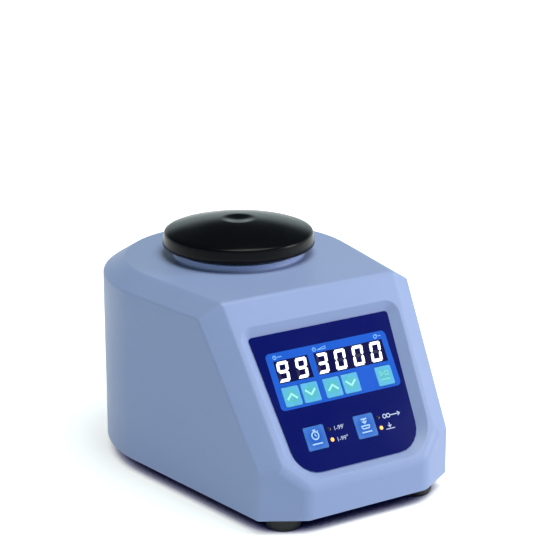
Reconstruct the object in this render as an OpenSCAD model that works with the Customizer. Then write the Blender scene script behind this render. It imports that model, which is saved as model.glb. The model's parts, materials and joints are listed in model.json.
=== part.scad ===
// Vortex mixer: a tapered moulded housing with a sloped control panel and a rubber
// shaker head that a sprung motor carriage drives in a small circle.
// Millimetres, +Z up, the front faces -Y, feet on z = 0.

/* [Housing] */
// Radius of the round back of the housing, about the motor axis
back_r = 78.6; // [74:0.1:84]
// Distance from the motor axis to the front face
front_reach = 135; // [130:0.1:140]
// Taper of each side towards the front, degrees
side_taper = 8.1; // [6:0.1:9]
// Height of the housing, without feet and collar
body_h = 108.3; // [106:0.1:112]
// Wall thickness of the housing
wall = 2.8; // [2:0.1:3.4]
// Length of the sloped face in plan, from the front face to the flat top
slope_reach = 59.6; // [58:0.1:61]
// Slope of the control face from level, degrees
slope_ang = 56.5; // [55:0.1:57.5]
// Depth below the top of the long bevel at the sides
bevel_drop = 8; // [6:0.1:9]
// Width of the long bevel, measured across the top
bevel_in = 12.6; // [10:0.1:14]
// Width across the front of each bevelled front corner
corner_in = 21.6; // [18:0.1:24]
// Depth of each bevelled front corner
corner_back = 13.9; // [12:0.1:16]
// Height of the point where side, corner and slope bevels meet, above the lower edge
bend_h = 27.5; // [24:0.1:31]

/* [Collar and shaker head] */
// Outer radius of the collar round the head opening
collar_r = 37; // [36:0.1:39]
// Wall of the collar
collar_wall = 3.5; // [2.5:0.1:4]
// Height of the collar above the housing
collar_h = 3.6; // [2:0.1:4]
// Clear height between the collar and the platform at rest
head_gap = 2.3; // [2.1:0.1:3]
// Radius of the platform at its top crease
platform_r = 43.2; // [42:0.1:46]
// How much the rim of the platform flares out at its foot
rim_flare = 1.1; // [0:0.1:2]
// Height of the rim of the platform
rim_h = 8; // [7:0.1:10]
// Rise of the domed top above the crease
dome_h = 7.3; // [5:0.1:9]
// Radius of the dimple for a tube tip
dimple_r = 9; // [6:0.1:12]
// Depth of the dimple for a tube tip
dimple_h = 1.4; // [0.8:0.1:2]
// Radius of the metal core under the platform
core_r = 36; // [34:0.1:38]
// Thickness of the metal core
core_t = 4; // [3:0.1:5]
// Eccentricity: half the diameter of the shaking circle
orbit_r = 2.25; // [1.5:0.05:2.5]
// Travel of the head when it is pressed to start
press_travel = 1.5; // [1:0.1:1.6]

/* [Control panel] */
// Depth of the panel recess
recess_depth = 3.5; // [3:0.1:4]
// Width of the sloping wall at the sides of the recess
recess_run = 6.3; // [5:0.1:6.8]
// Thickness of the printed film
film_t = 0.6; // [0.4:0.1:0.8]
// Distance down the slope from the top edge to the film
film_top = 21.1; // [20.5:0.1:23]
// Length of the film down the slope
film_len = 79; // [78:0.1:80]
// Width of the film at its top edge
film_w_top = 91.3; // [90.5:0.1:92.5]
// Width of the film at its bottom edge
film_w_bottom = 79.4; // [78.5:0.1:81]
// Radius of the two lower corners of the film
film_r_bottom = 15.5; // [12:0.5:17]
// Width of a small key
key_w = 10.8; // [10:0.1:11.2]
// Height of a small key, along the slope
key_l = 11; // [10.2:0.1:11.4]
// Width of a mode key
mode_w = 12.9; // [12:0.1:13.2]
// Height of a mode key, along the slope
mode_l = 13.1; // [12.2:0.1:13.4]
// Travel of a key
key_travel = 0.4; // [0.3:0.05:0.5]
// Radius of an indicator lamp
lamp_r = 1.1; // [0.9:0.05:1.3]
// Width of the time window
time_w = 21.8; // [21.4:0.1:22]
// Width of the speed window
speed_w = 45.3; // [45:0.1:45.6]
// Height of both windows, along the slope
window_l = 12.7; // [12.4:0.1:13]
// Height of a numeral
digit_h = 11.4; // [10.4:0.1:11.6]

/* [Base] */
// Height of the feet
foot_h = 8; // [7:0.1:10]
// Radius of a foot
foot_r = 10; // [8.5:0.1:10]
// Thickness of the base plate
base_t = 3; // [2.5:0.1:4]
// Thickness of the steel ballast plate
ballast_t = 5; // [4:0.1:6]

/* [Drive] */
// Radius of the motor can
motor_r = 31; // [29:0.1:32]
// Length of the motor can
motor_l = 46; // [44:0.1:48]
// Thickness of the carriage plate
carriage_t = 4; // [3:0.1:5]
// Half the side of the square carriage plate
carriage_half = 46; // [45:0.1:48]
// Distance of each guide post from the motor axis, along X and along Y
post_at = 36; // [35:0.1:37.5]
// Radius of a guide post
post_r = 3; // [2.6:0.1:3.2]
// Radius of the motor shaft and of the crank pin
shaft_r = 4; // [3.8:0.1:4]
// Outer radius of a ball bearing
bearing_r = 11; // [10.5:0.1:11.5]
// Height of a ball bearing
bearing_h = 7; // [6:0.1:7]

/* [Rear] */
// Width of the flat for the inlet and the switch
rear_w = 52; // [50:0.5:56]
// Height of the flat
rear_h = 26; // [24:0.5:28]
// Height of the middle of the flat above the housing's lower edge
rear_z = 26; // [24:0.5:30]

/* [Hidden] */

$fn = 64;
eps = 0.01;
// Radial clearance of a fitted or running pair
fit = 0.04;
// Clearance between two moulded pieces
gap = 0.3;

// Distance from the motor axis to the front edge of the flat top
top_reach = front_reach - slope_reach;

// Heights
low_z = foot_h;
top_z = foot_h + body_h;
border_z = body_h - bevel_drop;
side_step = 0.05;
// Direction of the crank pin from the motor axis at rest, degrees from +X
orbit_ang = 58;
base_top = low_z + base_t;
collar_z = top_z + collar_h;
rim_z = collar_z + head_gap;
crease_z = rim_z + rim_h;
core_z = rim_z + 0.4;

// Places along Y: the origin is the middle of the housing's length
axis_y = (front_reach - back_r) / 2;
back_y = axis_y + back_r;

// Half the width of the housing at a distance y behind the motor axis, less an inset
function half_w(y, inset = 0) = (back_r - inset) / cos(side_taper) + y * tan(side_taper);

// Plan outline less an inset, in order round the edge, about the motor axis
arc_steps = 44;
function plan(inset) = let (
        yf = -front_reach + inset, xf = half_w(yf, inset) - corner_in,
        yb = yf + corner_back, sweep = 180 + 2 * side_taper)
    concat([[-half_w(yb, inset), yb], [-xf, yf], [xf, yf], [half_w(yb, inset), yb]],
        [for (i = [0 : arc_steps]) let (a = i * sweep / arc_steps - side_taper)
            (back_r - inset) * [cos(a), sin(a)]]);

// Points round a circle's corner, used to round the corners of a polygon
function unit(v) = v / norm(v);
function corner_arc(p, c, n, r, steps) = let (
        u = unit(p - c), w = unit(n - c),
        half = acos(max(-1, min(1, u * w))) / 2,
        m = c + unit(u + w) * r / sin(half),
        a = atan2((c + u * r / tan(half) - m)[1], (c + u * r / tan(half) - m)[0]),
        b = atan2((c + w * r / tan(half) - m)[1], (c + w * r / tan(half) - m)[0]),
        d = ((b - a + 540) % 360) - 180)
    [for (i = [0 : steps]) m + r * [cos(a + d * i / steps), sin(a + d * i / steps)]];
function rounded(pts, radii, steps = 6) = [for (i = [0 : len(pts) - 1])
    each corner_arc(pts[(i + len(pts) - 1) % len(pts)], pts[i], pts[(i + 1) % len(pts)], radii[i], steps)];
function rect(w, l) = [[-w / 2, -l / 2], [w / 2, -l / 2], [w / 2, l / 2], [-w / 2, l / 2]];

// Profile of one straight side, bevelled along its top edge
module side_block(inset, z0, dir) {
    r = back_r - inset - side_step;
    mirror([dir, 0, 0]) rotate([0, 0, -side_taper]) rotate([90, 0, 0]) linear_extrude(2 * front_reach)
        polygon([[-3 * r, z0], [r, z0], [r, border_z - inset], [r - bevel_in, body_h - inset],
            [-3 * r, body_h - inset]]);
}
// Everything inside the sloped face, the flat front and the flat top
module slope_block(inset, slope_inset, z0) {
    drop = slope_inset / cos(slope_ang);
    y_front = -front_reach + inset;
    z_front = body_h + (y_front + top_reach) * tan(slope_ang) - drop;
    y_ridge = -top_reach + (drop - inset) / tan(slope_ang);
    rotate([90, 0, 90]) linear_extrude(4 * back_r, center = true) polygon([
        [y_front, z0 - 1], [y_front, z_front], [y_ridge, body_h - inset],
        [y_ridge, body_h + 1], [back_r + 1, body_h + 1], [back_r + 1, z0 - 1]]);
}
// Everything inside the two bevelled front corners
module corner_block(inset, z0) {
    y0 = -front_reach + inset;
    x0 = half_w(y0, inset) - corner_in;
    x1 = x0 + 3 * (half_w(y0 + corner_back, inset) - x0);
    y1 = y0 + 3 * corner_back;
    translate([0, 0, z0 - 2]) linear_extrude(body_h + 6) polygon([
        [-x0, y0 - 1], [x0, y0 - 1], [x0, y0], [x1, y1], [x1, back_r + 2],
        [-x1, back_r + 2], [-x1, y1], [-x0, y0]]);
}
// The bevel that runs down each side of the sloped face, as all that lies outside it
slope_corner = [half_w(-top_reach, bevel_in), -top_reach, body_h];
bend_point = [half_w(corner_back - front_reach), corner_back - front_reach, bend_h];
// Where the bevel meets both the sloped face and the front corner bevel, half way across the latter
band_x = (bend_point[0] + half_w(-front_reach) - corner_in) / 2;
band_y = corner_back / 2 - front_reach;
band_point = [band_x, band_y, body_h + (band_y + top_reach) * tan(slope_ang)];
bevel_n = unit(cross(bend_point - band_point, slope_corner - band_point));
module slope_bevel(inset, dir) {
    mirror([dir, 0, 0]) translate(slope_corner - inset * bevel_n)
        rotate([0, acos(bevel_n[2]), atan2(bevel_n[1], bevel_n[0])])
        translate([-2 * front_reach, -2 * front_reach, 0]) cube(4 * front_reach);
}
// The outer form of the housing, or of its cavity, about the motor axis
module housing_form(inset, slope_inset, z0) {
    r = back_r - inset;
    difference() {
        intersection() {
            union() {
                rotate_extrude($fn = 96) polygon([[0, z0], [r, z0], [r, border_z - inset],
                    [r - bevel_in, body_h - inset], [0, body_h - inset]]);
                intersection() {
                    side_block(inset, z0, 0);
                    side_block(inset, z0, 1);
                }
            }
            slope_block(inset, slope_inset, z0);
            corner_block(inset, z0);
        }
        slope_bevel(inset, 0);
        slope_bevel(inset, 1);
    }
}

// Frame of the sloped control face: X across, Y up the slope, Z out of the face
module on_slope() {
    translate([0, axis_y - top_reach, top_z]) rotate([slope_ang, 0, 0]) children();
}
module on_axis(z = 0) {
    translate([0, axis_y, z]) children();
}
// The crank's own frame: its +Y points from the motor axis to the crank pin
module on_hub(z = 0) {
    translate([0, axis_y, z]) rotate([0, 0, orbit_ang - 90]) children();
}
module on_crank(z = 0) {
    on_hub(z) translate([0, orbit_r, 0]) children();
}

// A tube swept along a list of points
function sweep_ring(p, q, r, sides) = let (t = unit(q),
        u = unit(cross(t, abs(t[2]) > 0.9 ? [1, 0, 0] : [0, 0, 1])), v = cross(t, u))
    [for (k = [0 : sides - 1]) p + r * (u * cos(360 * k / sides) + v * sin(360 * k / sides))];
module swept_tube(pts, r, sides) {
    n = len(pts);
    rings = [for (i = [0 : n - 1])
        each sweep_ring(pts[i], pts[min(i + 1, n - 1)] - pts[max(i - 1, 0)], r, sides)];
    polyhedron(points = rings, faces = concat(
        [[for (k = [0 : sides - 1]) k]],
        [[for (k = [sides - 1 : -1 : 0]) (n - 1) * sides + k]],
        [for (i = [0 : n - 2], k = [0 : sides - 1])
            [i * sides + k, (i + 1) * sides + k, (i + 1) * sides + (k + 1) % sides]],
        [for (i = [0 : n - 2], k = [0 : sides - 1])
            [i * sides + k, (i + 1) * sides + (k + 1) % sides, i * sides + (k + 1) % sides]]));
}
// Points of a smooth curve through a list of stations
function curve(p, steps = 4) = concat([for (i = [0 : len(p) - 2], s = [0 : steps - 1])
        let (t = s / steps, a = p[max(i - 1, 0)], b = p[i], c = p[i + 1], d = p[min(i + 2, len(p) - 1)])
        0.5 * (2 * b + (c - a) * t + (2 * a - 5 * b + 4 * c - d) * t * t
            + (3 * b - a - 3 * c + d) * t * t * t)], [p[len(p) - 1]]);
// The first points of a wire that leaves a face squarely, in order away from the face
function wire_end(p, out) = [p + pad_gap * out, p + out, p + 5 * out];
function reversed(p) = [for (i = [len(p) - 1 : -1 : 0]) p[i]];

// A screw standing on its head: the head is below, the shank points up
module screw(head_r, head_t, shank_r, shank_l) {
    difference() {
        cylinder(r = head_r, h = head_t);
        for (a = [0, 90]) rotate([0, 0, a])
            translate([-head_r * 0.6, -head_r * 0.12, -eps]) cube([head_r * 1.2, head_r * 0.24, head_t * 0.4]);
    }
    translate([0, 0, head_t]) cylinder(r = shank_r, h = shank_l);
}

// ---- Control panel layout, in the slope frame ----
film_z = -recess_depth + film_t;
film_mid_r = 2;
function film_half(v) = film_w_top / 2 + (film_w_bottom - film_w_top) / 2 * (v - film_top) / film_len;
function film_pts(side, top, low) = [
    [-film_half(film_top + film_len) - side, -film_top - film_len - low],
    [film_half(film_top + film_len) + side, -film_top - film_len - low],
    [film_half(film_top) + side, -film_top + top],
    [-film_half(film_top) - side, -film_top + top]];
function film_radii(grow) = [film_r_bottom + grow, film_r_bottom + grow, film_mid_r + grow, film_mid_r + grow];
// Width of the recess wall above the film and below it
recess_top_run = 5.4;
recess_low_run = 4.2;
// The recess wall as a tool goes on past the face, this many times its own width
wall_on = 1 + 1 / recess_depth;

field_w = 78.5;
field_l = 32.1;
field_x = 0.45;
field_v = 47.75;
field_r = 2.5;
window_v = 42.7;
time_x = -24;
speed_x = 13.5;
key_row_v = 56.85;
mode_row_v = film_top + film_len - 18.5;
key_rows = [
    ["key_time_up", -30.1, key_row_v, key_w, key_l],
    ["key_time_down", -18, key_row_v, key_w, key_l],
    ["key_speed_up", -3.7, key_row_v, key_w, key_l],
    ["key_speed_down", 8.3, key_row_v, key_w, key_l],
    ["key_start_stop", 30.7, key_row_v, key_w, key_l],
    ["key_time_unit", -23.6, mode_row_v, mode_w, mode_l],
    ["key_mode", 8.7, mode_row_v, mode_w, mode_l]];
lamp_places = [for (v = [mode_row_v - 2.9, mode_row_v + 3], x = [-13.9, 18.3]) [x, v]];
key_gap = 0.2;
key_proud = 0.25;
key_t = 1.4;
key_r = 0.8;
board_z = -11.6;
board_t = 1.6;
socket_v = -49;
tact_h = 3.5;
stem_r = 1.5;
digit_w = 7.2;
time_digits_x = -24.7;
speed_digits_x = 12.4;
time_pitch = 11.9;
speed_pitch = 11.8;
digit_lean = 8.3;
seg_w = 1.9;
seg_gap = 0.2;
seg_proud = 0.06;
backing_t = 2.5;
backing_z = -recess_depth - backing_t;
board_w = 92;
board_l = film_len - 4;
board_v = film_top + 1 + film_len / 2;
boss_places = [for (s = [-1, 1]) each [
    [s * 42, board_l / 2 - 5 - board_v], [s * 37, 5 - board_l / 2 - board_v]]];

module key_shape(k, grow, t) {
    translate([k[1], -k[2], 0]) linear_extrude(t)
        polygon(rounded(rect(k[3] + 2 * grow, k[4] + 2 * grow), [for (i = [0 : 3]) key_r], 3));
}
module window_shape(x, w, grow, t) {
    translate([x, -window_v, 0]) linear_extrude(t) square([w + 2 * grow, window_l + 2 * grow], center = true);
}

// ---- Housing ----
boss_r = 5.2;
boss_sink = 0.6;
screw_r = 1.7;
boss_h = 32;
boss_ring = back_r - wall - boss_r + boss_sink;
base_bosses = [for (s = [-1, 1], y = [-98, -38]) [s * (half_w(y, wall) - boss_r + boss_sink), y]];
rear_bosses = [for (s = [-1, 1], a = [9, 58]) boss_ring * [s * cos(a), sin(a)]];
housing_bosses = concat(base_bosses, rear_bosses);
board_boss_r = 2.8;
board_screw_r = 1;
rear_depth = 4.6;
rear_pad = 3;
head_hole_r = collar_r - collar_wall;

module rear_place(x) {
    translate([x, back_y - rear_depth, low_z + rear_z]) rotate([-90, 0, 0]) children();
}
inlet_x = -13;
switch_x = 11;
inlet_r = 4;
switch_w = 19;
switch_l = 13;

module upper_housing() {
    color("#a3b2d4")
    difference() {
        union() {
            on_axis(low_z) difference() {
                housing_form(0, 0, 0);
                difference() {
                    housing_form(wall, wall, -1);
                    translate([0, -top_reach, body_h]) rotate([slope_ang, 0, 0]) recess_backing();
                }
            }
            on_axis(low_z) for (b = housing_bosses)
                translate([b[0], b[1], base_t]) cylinder(r = boss_r, h = boss_h);
            on_axis(top_z - eps) cylinder(r = collar_r, h = collar_h + eps);
            on_slope() for (b = boss_places)
                translate([b[0], b[1], board_z]) cylinder(r = board_boss_r, h = backing_z - board_z + eps);
            intersection() {
                on_axis(low_z) housing_form(wall / 2, wall / 2, 1);
                translate([-rear_w / 2 - rear_pad, back_y - rear_depth - rear_pad,
                    low_z + rear_z - rear_h / 2 - rear_pad])
                    cube([rear_w + 2 * rear_pad, rear_depth + rear_pad + 1, rear_h + 2 * rear_pad]);
            }
        }
        on_axis(top_z - wall - 1) cylinder(r = head_hole_r, h = wall + collar_h + 2);
        on_axis(low_z) for (b = housing_bosses)
            translate([b[0], b[1], base_t - eps]) cylinder(r = screw_r, h = 14);
        on_slope() {
            hull() {
                translate([0, 0, -recess_depth]) linear_extrude(eps)
                    polygon(rounded(film_pts(gap, gap, gap), film_radii(gap)));
                translate([0, 0, 1]) linear_extrude(eps)
                    polygon(rounded(film_pts(recess_run * wall_on, recess_top_run * wall_on,
                        recess_low_run * wall_on), film_radii(recess_low_run * wall_on)));
            }
            for (b = boss_places)
                translate([b[0], b[1], board_z - eps]) cylinder(r = board_screw_r, h = 5);
            for (k = key_rows) translate([0, 0, backing_z - 1]) key_shape(k, gap, backing_t + 2);
            for (w = [[time_x, time_w], [speed_x, speed_w]])
                translate([0, 0, backing_z - 1]) window_shape(w[0], w[1], gap, backing_t + 2);
            for (p = lamp_places)
                translate([p[0], -p[1], backing_z - 1]) cylinder(r = lamp_r + gap, h = backing_t + 2);
        }
        translate([-rear_w / 2, back_y - rear_depth, low_z + rear_z - rear_h / 2])
            cube([rear_w, rear_depth + 1, rear_h]);
        rear_place(inlet_x) translate([0, 0, -rear_pad - 1]) cylinder(r = inlet_r + fit, h = rear_pad + 2);
        rear_place(switch_x) translate([-switch_w / 2 - fit, -switch_l / 2 - fit, -rear_pad - 1])
            cube([switch_w + 2 * fit, switch_l + 2 * fit, rear_pad + 2]);
    }
}
// The panel floor: a slab behind the recess that the cavity leaves standing
module recess_backing() {
    translate([-film_w_top / 2 - recess_run, -film_top - film_len - recess_run, backing_z])
        cube([film_w_top + 2 * recess_run, film_len + 2 * recess_run, 20]);
}

// ---- Base ----
foot_places = [for (s = [-1, 1], y = [18.2 - front_reach, 50]) [s * (y < 0 ? 43.4 : 46), y]];
foot_screw_r = 2;
foot_boss_r = 5;
foot_boss_h = 6;
foot_bore_h = 3;
touch_hole = [[-5, -52], [5, -52]];
driver_y = 41 - front_reach;
driver_places = [for (x = [-32, 32], y = [-18, 18]) [x, driver_y + y]];
pad_gap = 0.02;

module base_plate() {
    color("#7f8fb4")
    on_axis() difference() {
        union() {
            translate([0, 0, low_z]) linear_extrude(base_t) polygon(plan(wall + gap));
            for (f = foot_places) translate([f[0], f[1], low_z])
                cylinder(r = foot_boss_r, h = base_t + foot_boss_h);
        }
        for (b = housing_bosses) {
            translate([b[0], b[1], low_z - eps]) cylinder(r = screw_r + gap, h = base_t + 1);
            translate([b[0], b[1], low_z - eps]) cylinder(r = 3.3, h = 1.7);
        }
        for (f = foot_places)
            translate([f[0], f[1], low_z - eps]) cylinder(r = foot_screw_r + fit, h = base_t + foot_boss_h - 1);
        for (sx = [-1, 1], sy = [-1, 1])
            translate([sx * post_at, sy * post_at, low_z - eps]) cylinder(r = post_r + fit, h = base_t + 1);
        for (p = touch_hole) translate([p[0], p[1], low_z - eps]) cylinder(r = 1.5 + fit, h = base_t + 1);
        for (p = driver_places) translate([p[0], p[1], low_z - eps]) cylinder(r = 1.5 + fit, h = base_t + 1);
        for (i = [-4 : 4]) translate([i * 7 - 1.25, driver_y - 4, low_z - 1]) cube([2.5, 16, base_t + 2]);
    }
}
module base_screws() {
    color("#b8bcc4")
    on_axis() for (b = housing_bosses)
        translate([b[0], b[1], low_z + 0.2]) screw(3, 1.4, screw_r - fit, base_t + 8);
}
module rubber_feet() {
    color("#14161a")
    on_axis() for (f = foot_places) translate([f[0], f[1], 0]) rotate_extrude() polygon([
        [4.2, 0], [foot_r - 2, 0], [foot_r - 0.8, 0.4], [foot_r - 0.2, 1.6], [foot_r, 3],
        [foot_r, foot_h], [foot_screw_r + gap, foot_h], [foot_screw_r + gap, foot_bore_h], [4.2, foot_bore_h]]);
}
module foot_screws() {
    color("#b8bcc4")
    on_axis() for (f = foot_places) translate([f[0], f[1], 1])
        screw(3.8, foot_bore_h - 1, foot_screw_r, foot_h - foot_bore_h + base_t + foot_boss_h - 2);
}
module ballast_plate() {
    color("#4c5058")
    on_axis(base_top) difference() {
        linear_extrude(ballast_t) polygon(rounded(rect(100, 88), [8, 8, 8, 8]));
        for (sx = [-1, 1], sy = [-1, 1])
            translate([sx * post_at, sy * post_at, -1]) cylinder(r = post_r + 4.3, h = ballast_t + 2);
        translate([0, 0, -1]) cylinder(r = 12, h = ballast_t + 2);
    }
}

// ---- Control panel ----
module panel_film() {
    color("#101a78")
    on_slope() difference() {
        translate([0, 0, -recess_depth]) linear_extrude(film_t)
            polygon(rounded(film_pts(0, 0, 0), film_radii(0)));
        translate([field_x, -field_v, -recess_depth - 1]) linear_extrude(film_t + 2)
            polygon(rounded(rect(field_w + 2 * pad_gap, field_l + 2 * pad_gap), [for (i = [0 : 3]) field_r]));
        for (k = key_rows) translate([0, 0, -recess_depth - 1]) key_shape(k, key_gap, film_t + 2);
        for (p = lamp_places) translate([p[0], -p[1], -recess_depth - 1])
            cylinder(r = lamp_r + fit, h = film_t + 2);
    }
}
module display_field() {
    color("#1f60e0")
    on_slope() difference() {
        translate([field_x, -field_v, -recess_depth]) linear_extrude(film_t)
            polygon(rounded(rect(field_w, field_l), [for (i = [0 : 3]) field_r]));
        for (k = key_rows) translate([0, 0, -recess_depth - 1]) key_shape(k, key_gap, film_t + 2);
        translate([0, 0, -recess_depth - 1]) window_shape(time_x, time_w, pad_gap, film_t + 2);
        translate([0, 0, -recess_depth - 1]) window_shape(speed_x, speed_w, pad_gap, film_t + 2);
    }
}
module window_lens(x, w) {
    on_slope() translate([0, 0, -recess_depth]) window_shape(x, w, 0, film_t);
}
module time_window() {
    color("#0a0518") window_lens(time_x, time_w);
}
module speed_window() {
    color("#0a0518") window_lens(speed_x, speed_w);
}
// One seven-segment numeral; each segment is a bar with pointed ends
bars = [[[0, 1], 0], [[0.5, 0.5], 90], [[0.5, -0.5], 90], [[0, -1], 0], [[-0.5, -0.5], 90], [[-0.5, 0.5], 90],
    [[0, 0], 0]];
numerals = [[0, 1, 2, 3, 4, 5], [1, 2], [0, 1, 6, 4, 3], [0, 1, 6, 2, 3], [5, 6, 1, 2], [0, 5, 6, 2, 3],
    [0, 5, 6, 2, 3, 4], [0, 1, 2], [0, 1, 2, 3, 4, 5, 6], [0, 1, 2, 3, 5, 6]];
module numeral(n) {
    inner_w = digit_w - seg_w;
    inner_h = digit_h - seg_w;
    for (s = numerals[n]) {
        b = bars[s];
        x = b[0][0] * inner_w;
        y = b[0][1] * inner_h / 2;
        l = b[1] == 0 ? inner_w - seg_gap : inner_h / 2 - seg_gap;
        translate([x + y * tan(digit_lean), y, 0]) rotate([0, 0, b[1] == 0 ? 0 : 90 - digit_lean])
            linear_extrude(seg_proud) polygon([
                [-l / 2, 0], [-l / 2 + seg_w / 2, -seg_w / 2], [l / 2 - seg_w / 2, -seg_w / 2],
                [l / 2, 0], [l / 2 - seg_w / 2, seg_w / 2], [-l / 2 + seg_w / 2, seg_w / 2]]);
    }
}
module numerals_row(x, list, pitch) {
    on_slope() for (i = [0 : len(list) - 1])
        translate([x + (i - (len(list) - 1) / 2) * pitch, -window_v, film_z]) numeral(list[i]);
}
module time_digits() {
    color("#ffffff") numerals_row(time_digits_x, [9, 9], time_pitch);
}
module speed_digits() {
    color("#ffffff") numerals_row(speed_digits_x, [3, 0, 0, 0], speed_pitch);
}
module display_block(x, w) {
    on_slope() translate([x - w / 2 + 0.4, -window_v - window_l / 2 + 0.4, board_z])
        cube([w - 0.8, window_l - 0.8, -recess_depth - board_z]);
}
module time_display() {
    color("#20222a") display_block(time_x, time_w);
}
module speed_display() {
    color("#20222a") display_block(speed_x, speed_w);
}
module panel_key(k) {
    on_slope() {
        translate([0, 0, film_z + key_proud - key_t]) key_shape(k, 0, key_t);
        translate([k[1], -k[2], board_z + tact_h - key_travel - 0.3])
            cylinder(r = stem_r, h = film_z + key_proud - key_t - board_z - tact_h + key_travel + 0.3 + eps);
    }
}
module key_time_up() { color("#62bee8") panel_key(key_rows[0]); }
module key_time_down() { color("#62bee8") panel_key(key_rows[1]); }
module key_speed_up() { color("#62bee8") panel_key(key_rows[2]); }
module key_speed_down() { color("#62bee8") panel_key(key_rows[3]); }
module key_start_stop() { color("#62bee8") panel_key(key_rows[4]); }
module key_time_unit() { color("#2f6fe4") panel_key(key_rows[5]); }
module key_mode() { color("#2f6fe4") panel_key(key_rows[6]); }
module lamp(p) {
    on_slope() translate([p[0], -p[1], 0]) {
        translate([0, 0, board_z]) cylinder(r = lamp_r, h = film_z + 0.1 - board_z);
    }
}
module lamps_lit() { color("#ffd080") { lamp(lamp_places[2]); lamp(lamp_places[3]); } }
module lamps_unlit() { color("#201420") { lamp(lamp_places[0]); lamp(lamp_places[1]); } }

module control_board() {
    color("#1d6b3a")
    on_slope() difference() {
        translate([-board_w / 2, -board_v - board_l / 2, board_z - board_t]) cube([board_w, board_l, board_t]);
        for (b = boss_places) translate([b[0], b[1], board_z - board_t - 1])
            cylinder(r = board_screw_r + gap, h = board_t + 2);
    }
}
module tact_switches() {
    color("#2b2d33")
    on_slope() for (k = key_rows) translate([k[1], -k[2], board_z]) difference() {
        translate([-3, -3, 0]) cube([6, 6, tact_h]);
        translate([0, 0, tact_h - 2 * key_travel - 0.35]) cylinder(r = stem_r + 0.2, h = 2 * key_travel + 1);
    }
}
module board_chips() {
    color("#26282c")
    on_slope() translate([0, 0, board_z - board_t]) {
        translate([-6, -66, -1.6]) cube([12, 12, 1.6]);
        translate([-28, -50, -1.2]) cube([9, 5, 1.2]);
        translate([18, -52, -1.2]) cube([9, 5, 1.2]);
        translate([-12, socket_v - 3, -6]) cube([24, 6, 6]);
    }
}
module board_screws() {
    color("#b8bcc4")
    on_slope() for (b = boss_places) translate([b[0], b[1], board_z - board_t - 1.5])
        screw(2.4, 1.5, board_screw_r - fit, board_t + 4);
}

// ---- Drive ----
plate_z = top_z - 28.3;
plate_low = plate_z - carriage_t;
bell_t = 6;
can_top = plate_low - bell_t;
can_low = can_top - motor_l;
can_wall = 2;
seat_z = plate_low - 22;
motor_bolt_r = 24;
motor_bolt = 2;
lower_bearing_z = can_low + can_wall;
upper_bearing_z = plate_low - bearing_h;
hub_z = plate_z + 2.2;
hub_h = 10;
pin_z = hub_z + hub_h;
boss_z = pin_z + 1.5;
crank_boss_r = bearing_r + 4;
pin_top = core_z - 3.6;
bush_r = 5;
nut_z = plate_z + 0.05;

module motor_plate() {
    color("#9aa0a8")
    on_axis(plate_low) difference() {
        linear_extrude(carriage_t) polygon(rounded(rect(2 * carriage_half, 2 * carriage_half), [8, 8, 8, 8]));
        translate([0, 0, -1]) cylinder(r = bearing_r + 1, h = carriage_t + 2);
        for (sx = [-1, 1], sy = [-1, 1])
            translate([sx * post_at, sy * post_at, -1]) cylinder(r = bush_r + fit, h = carriage_t + 2);
        for (a = [0 : 90 : 270]) rotate([0, 0, a])
            translate([motor_bolt_r, 0, -1]) cylinder(r = motor_bolt + gap, h = carriage_t + 2);
    }
}
module guide_bushes() {
    color("#e6e2d6")
    on_axis(plate_low) for (sx = [-1, 1], sy = [-1, 1]) translate([sx * post_at, sy * post_at, 0])
        difference() {
            cylinder(r = bush_r, h = carriage_t);
            translate([0, 0, -1]) cylinder(r = post_r + 0.06, h = carriage_t + 2);
        }
}
module guide_posts() {
    color("#c4c8ce")
    on_axis() for (sx = [-1, 1], sy = [-1, 1]) translate([sx * post_at, sy * post_at, 0]) {
        translate([0, 0, low_z + 0.3]) cylinder(r = post_r, h = plate_z + 6 - low_z - 0.3);
        translate([0, 0, base_top + 0.01]) cylinder(r = post_r + 3.5, h = 3);
        translate([0, 0, seat_z - 3]) cylinder(r = post_r + 3.5, h = 3);
    }
}
module post_nuts() {
    color("#b8bcc4")
    on_axis(nut_z) for (sx = [-1, 1], sy = [-1, 1]) translate([sx * post_at, sy * post_at, 0])
        difference() {
            union() {
                cylinder(r = 6.5, h = 1);
                translate([0, 0, 1]) cylinder(r = 5.4, h = 4, $fn = 6);
            }
            translate([0, 0, -1]) cylinder(r = post_r + fit, h = 8);
        }
}
spring_wire_r = 0.7;
spring_turns = 5;
spring_mid_r = post_r + 1.9;
module carriage_springs() {
    color("#c0c4ca")
    on_axis(seat_z) for (sx = [-1, 1], sy = [-1, 1]) translate([sx * post_at, sy * post_at, 0]) {
        low = spring_wire_r + 0.05;
        high = plate_low - seat_z - spring_wire_r - 0.05;
        steps = 14 * spring_turns;
        swept_tube([for (i = [0 : steps])
            let (a = 360 * spring_turns * i / steps)
            [spring_mid_r * cos(a), spring_mid_r * sin(a), low + (high - low) * i / steps]], spring_wire_r, 6);
    }
}
module motor_can() {
    color("#8d939b")
    on_axis(can_low) difference() {
        union() {
            cylinder(r = motor_r, h = motor_l);
            translate([0, 0, -2]) cylinder(r = 16, h = 2);
        }
        translate([0, 0, can_wall]) cylinder(r = motor_r - can_wall, h = motor_l);
        translate([0, 0, can_wall - 1]) cylinder(r = shaft_r + 2, h = can_wall);
    }
    color("#8d939b")
    on_axis(can_low + can_wall - eps) difference() {
        cylinder(r = bearing_r + 3, h = bearing_h - 1);
        translate([0, 0, -1]) cylinder(r = bearing_r + fit, h = bearing_h + 2);
    }
}
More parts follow.
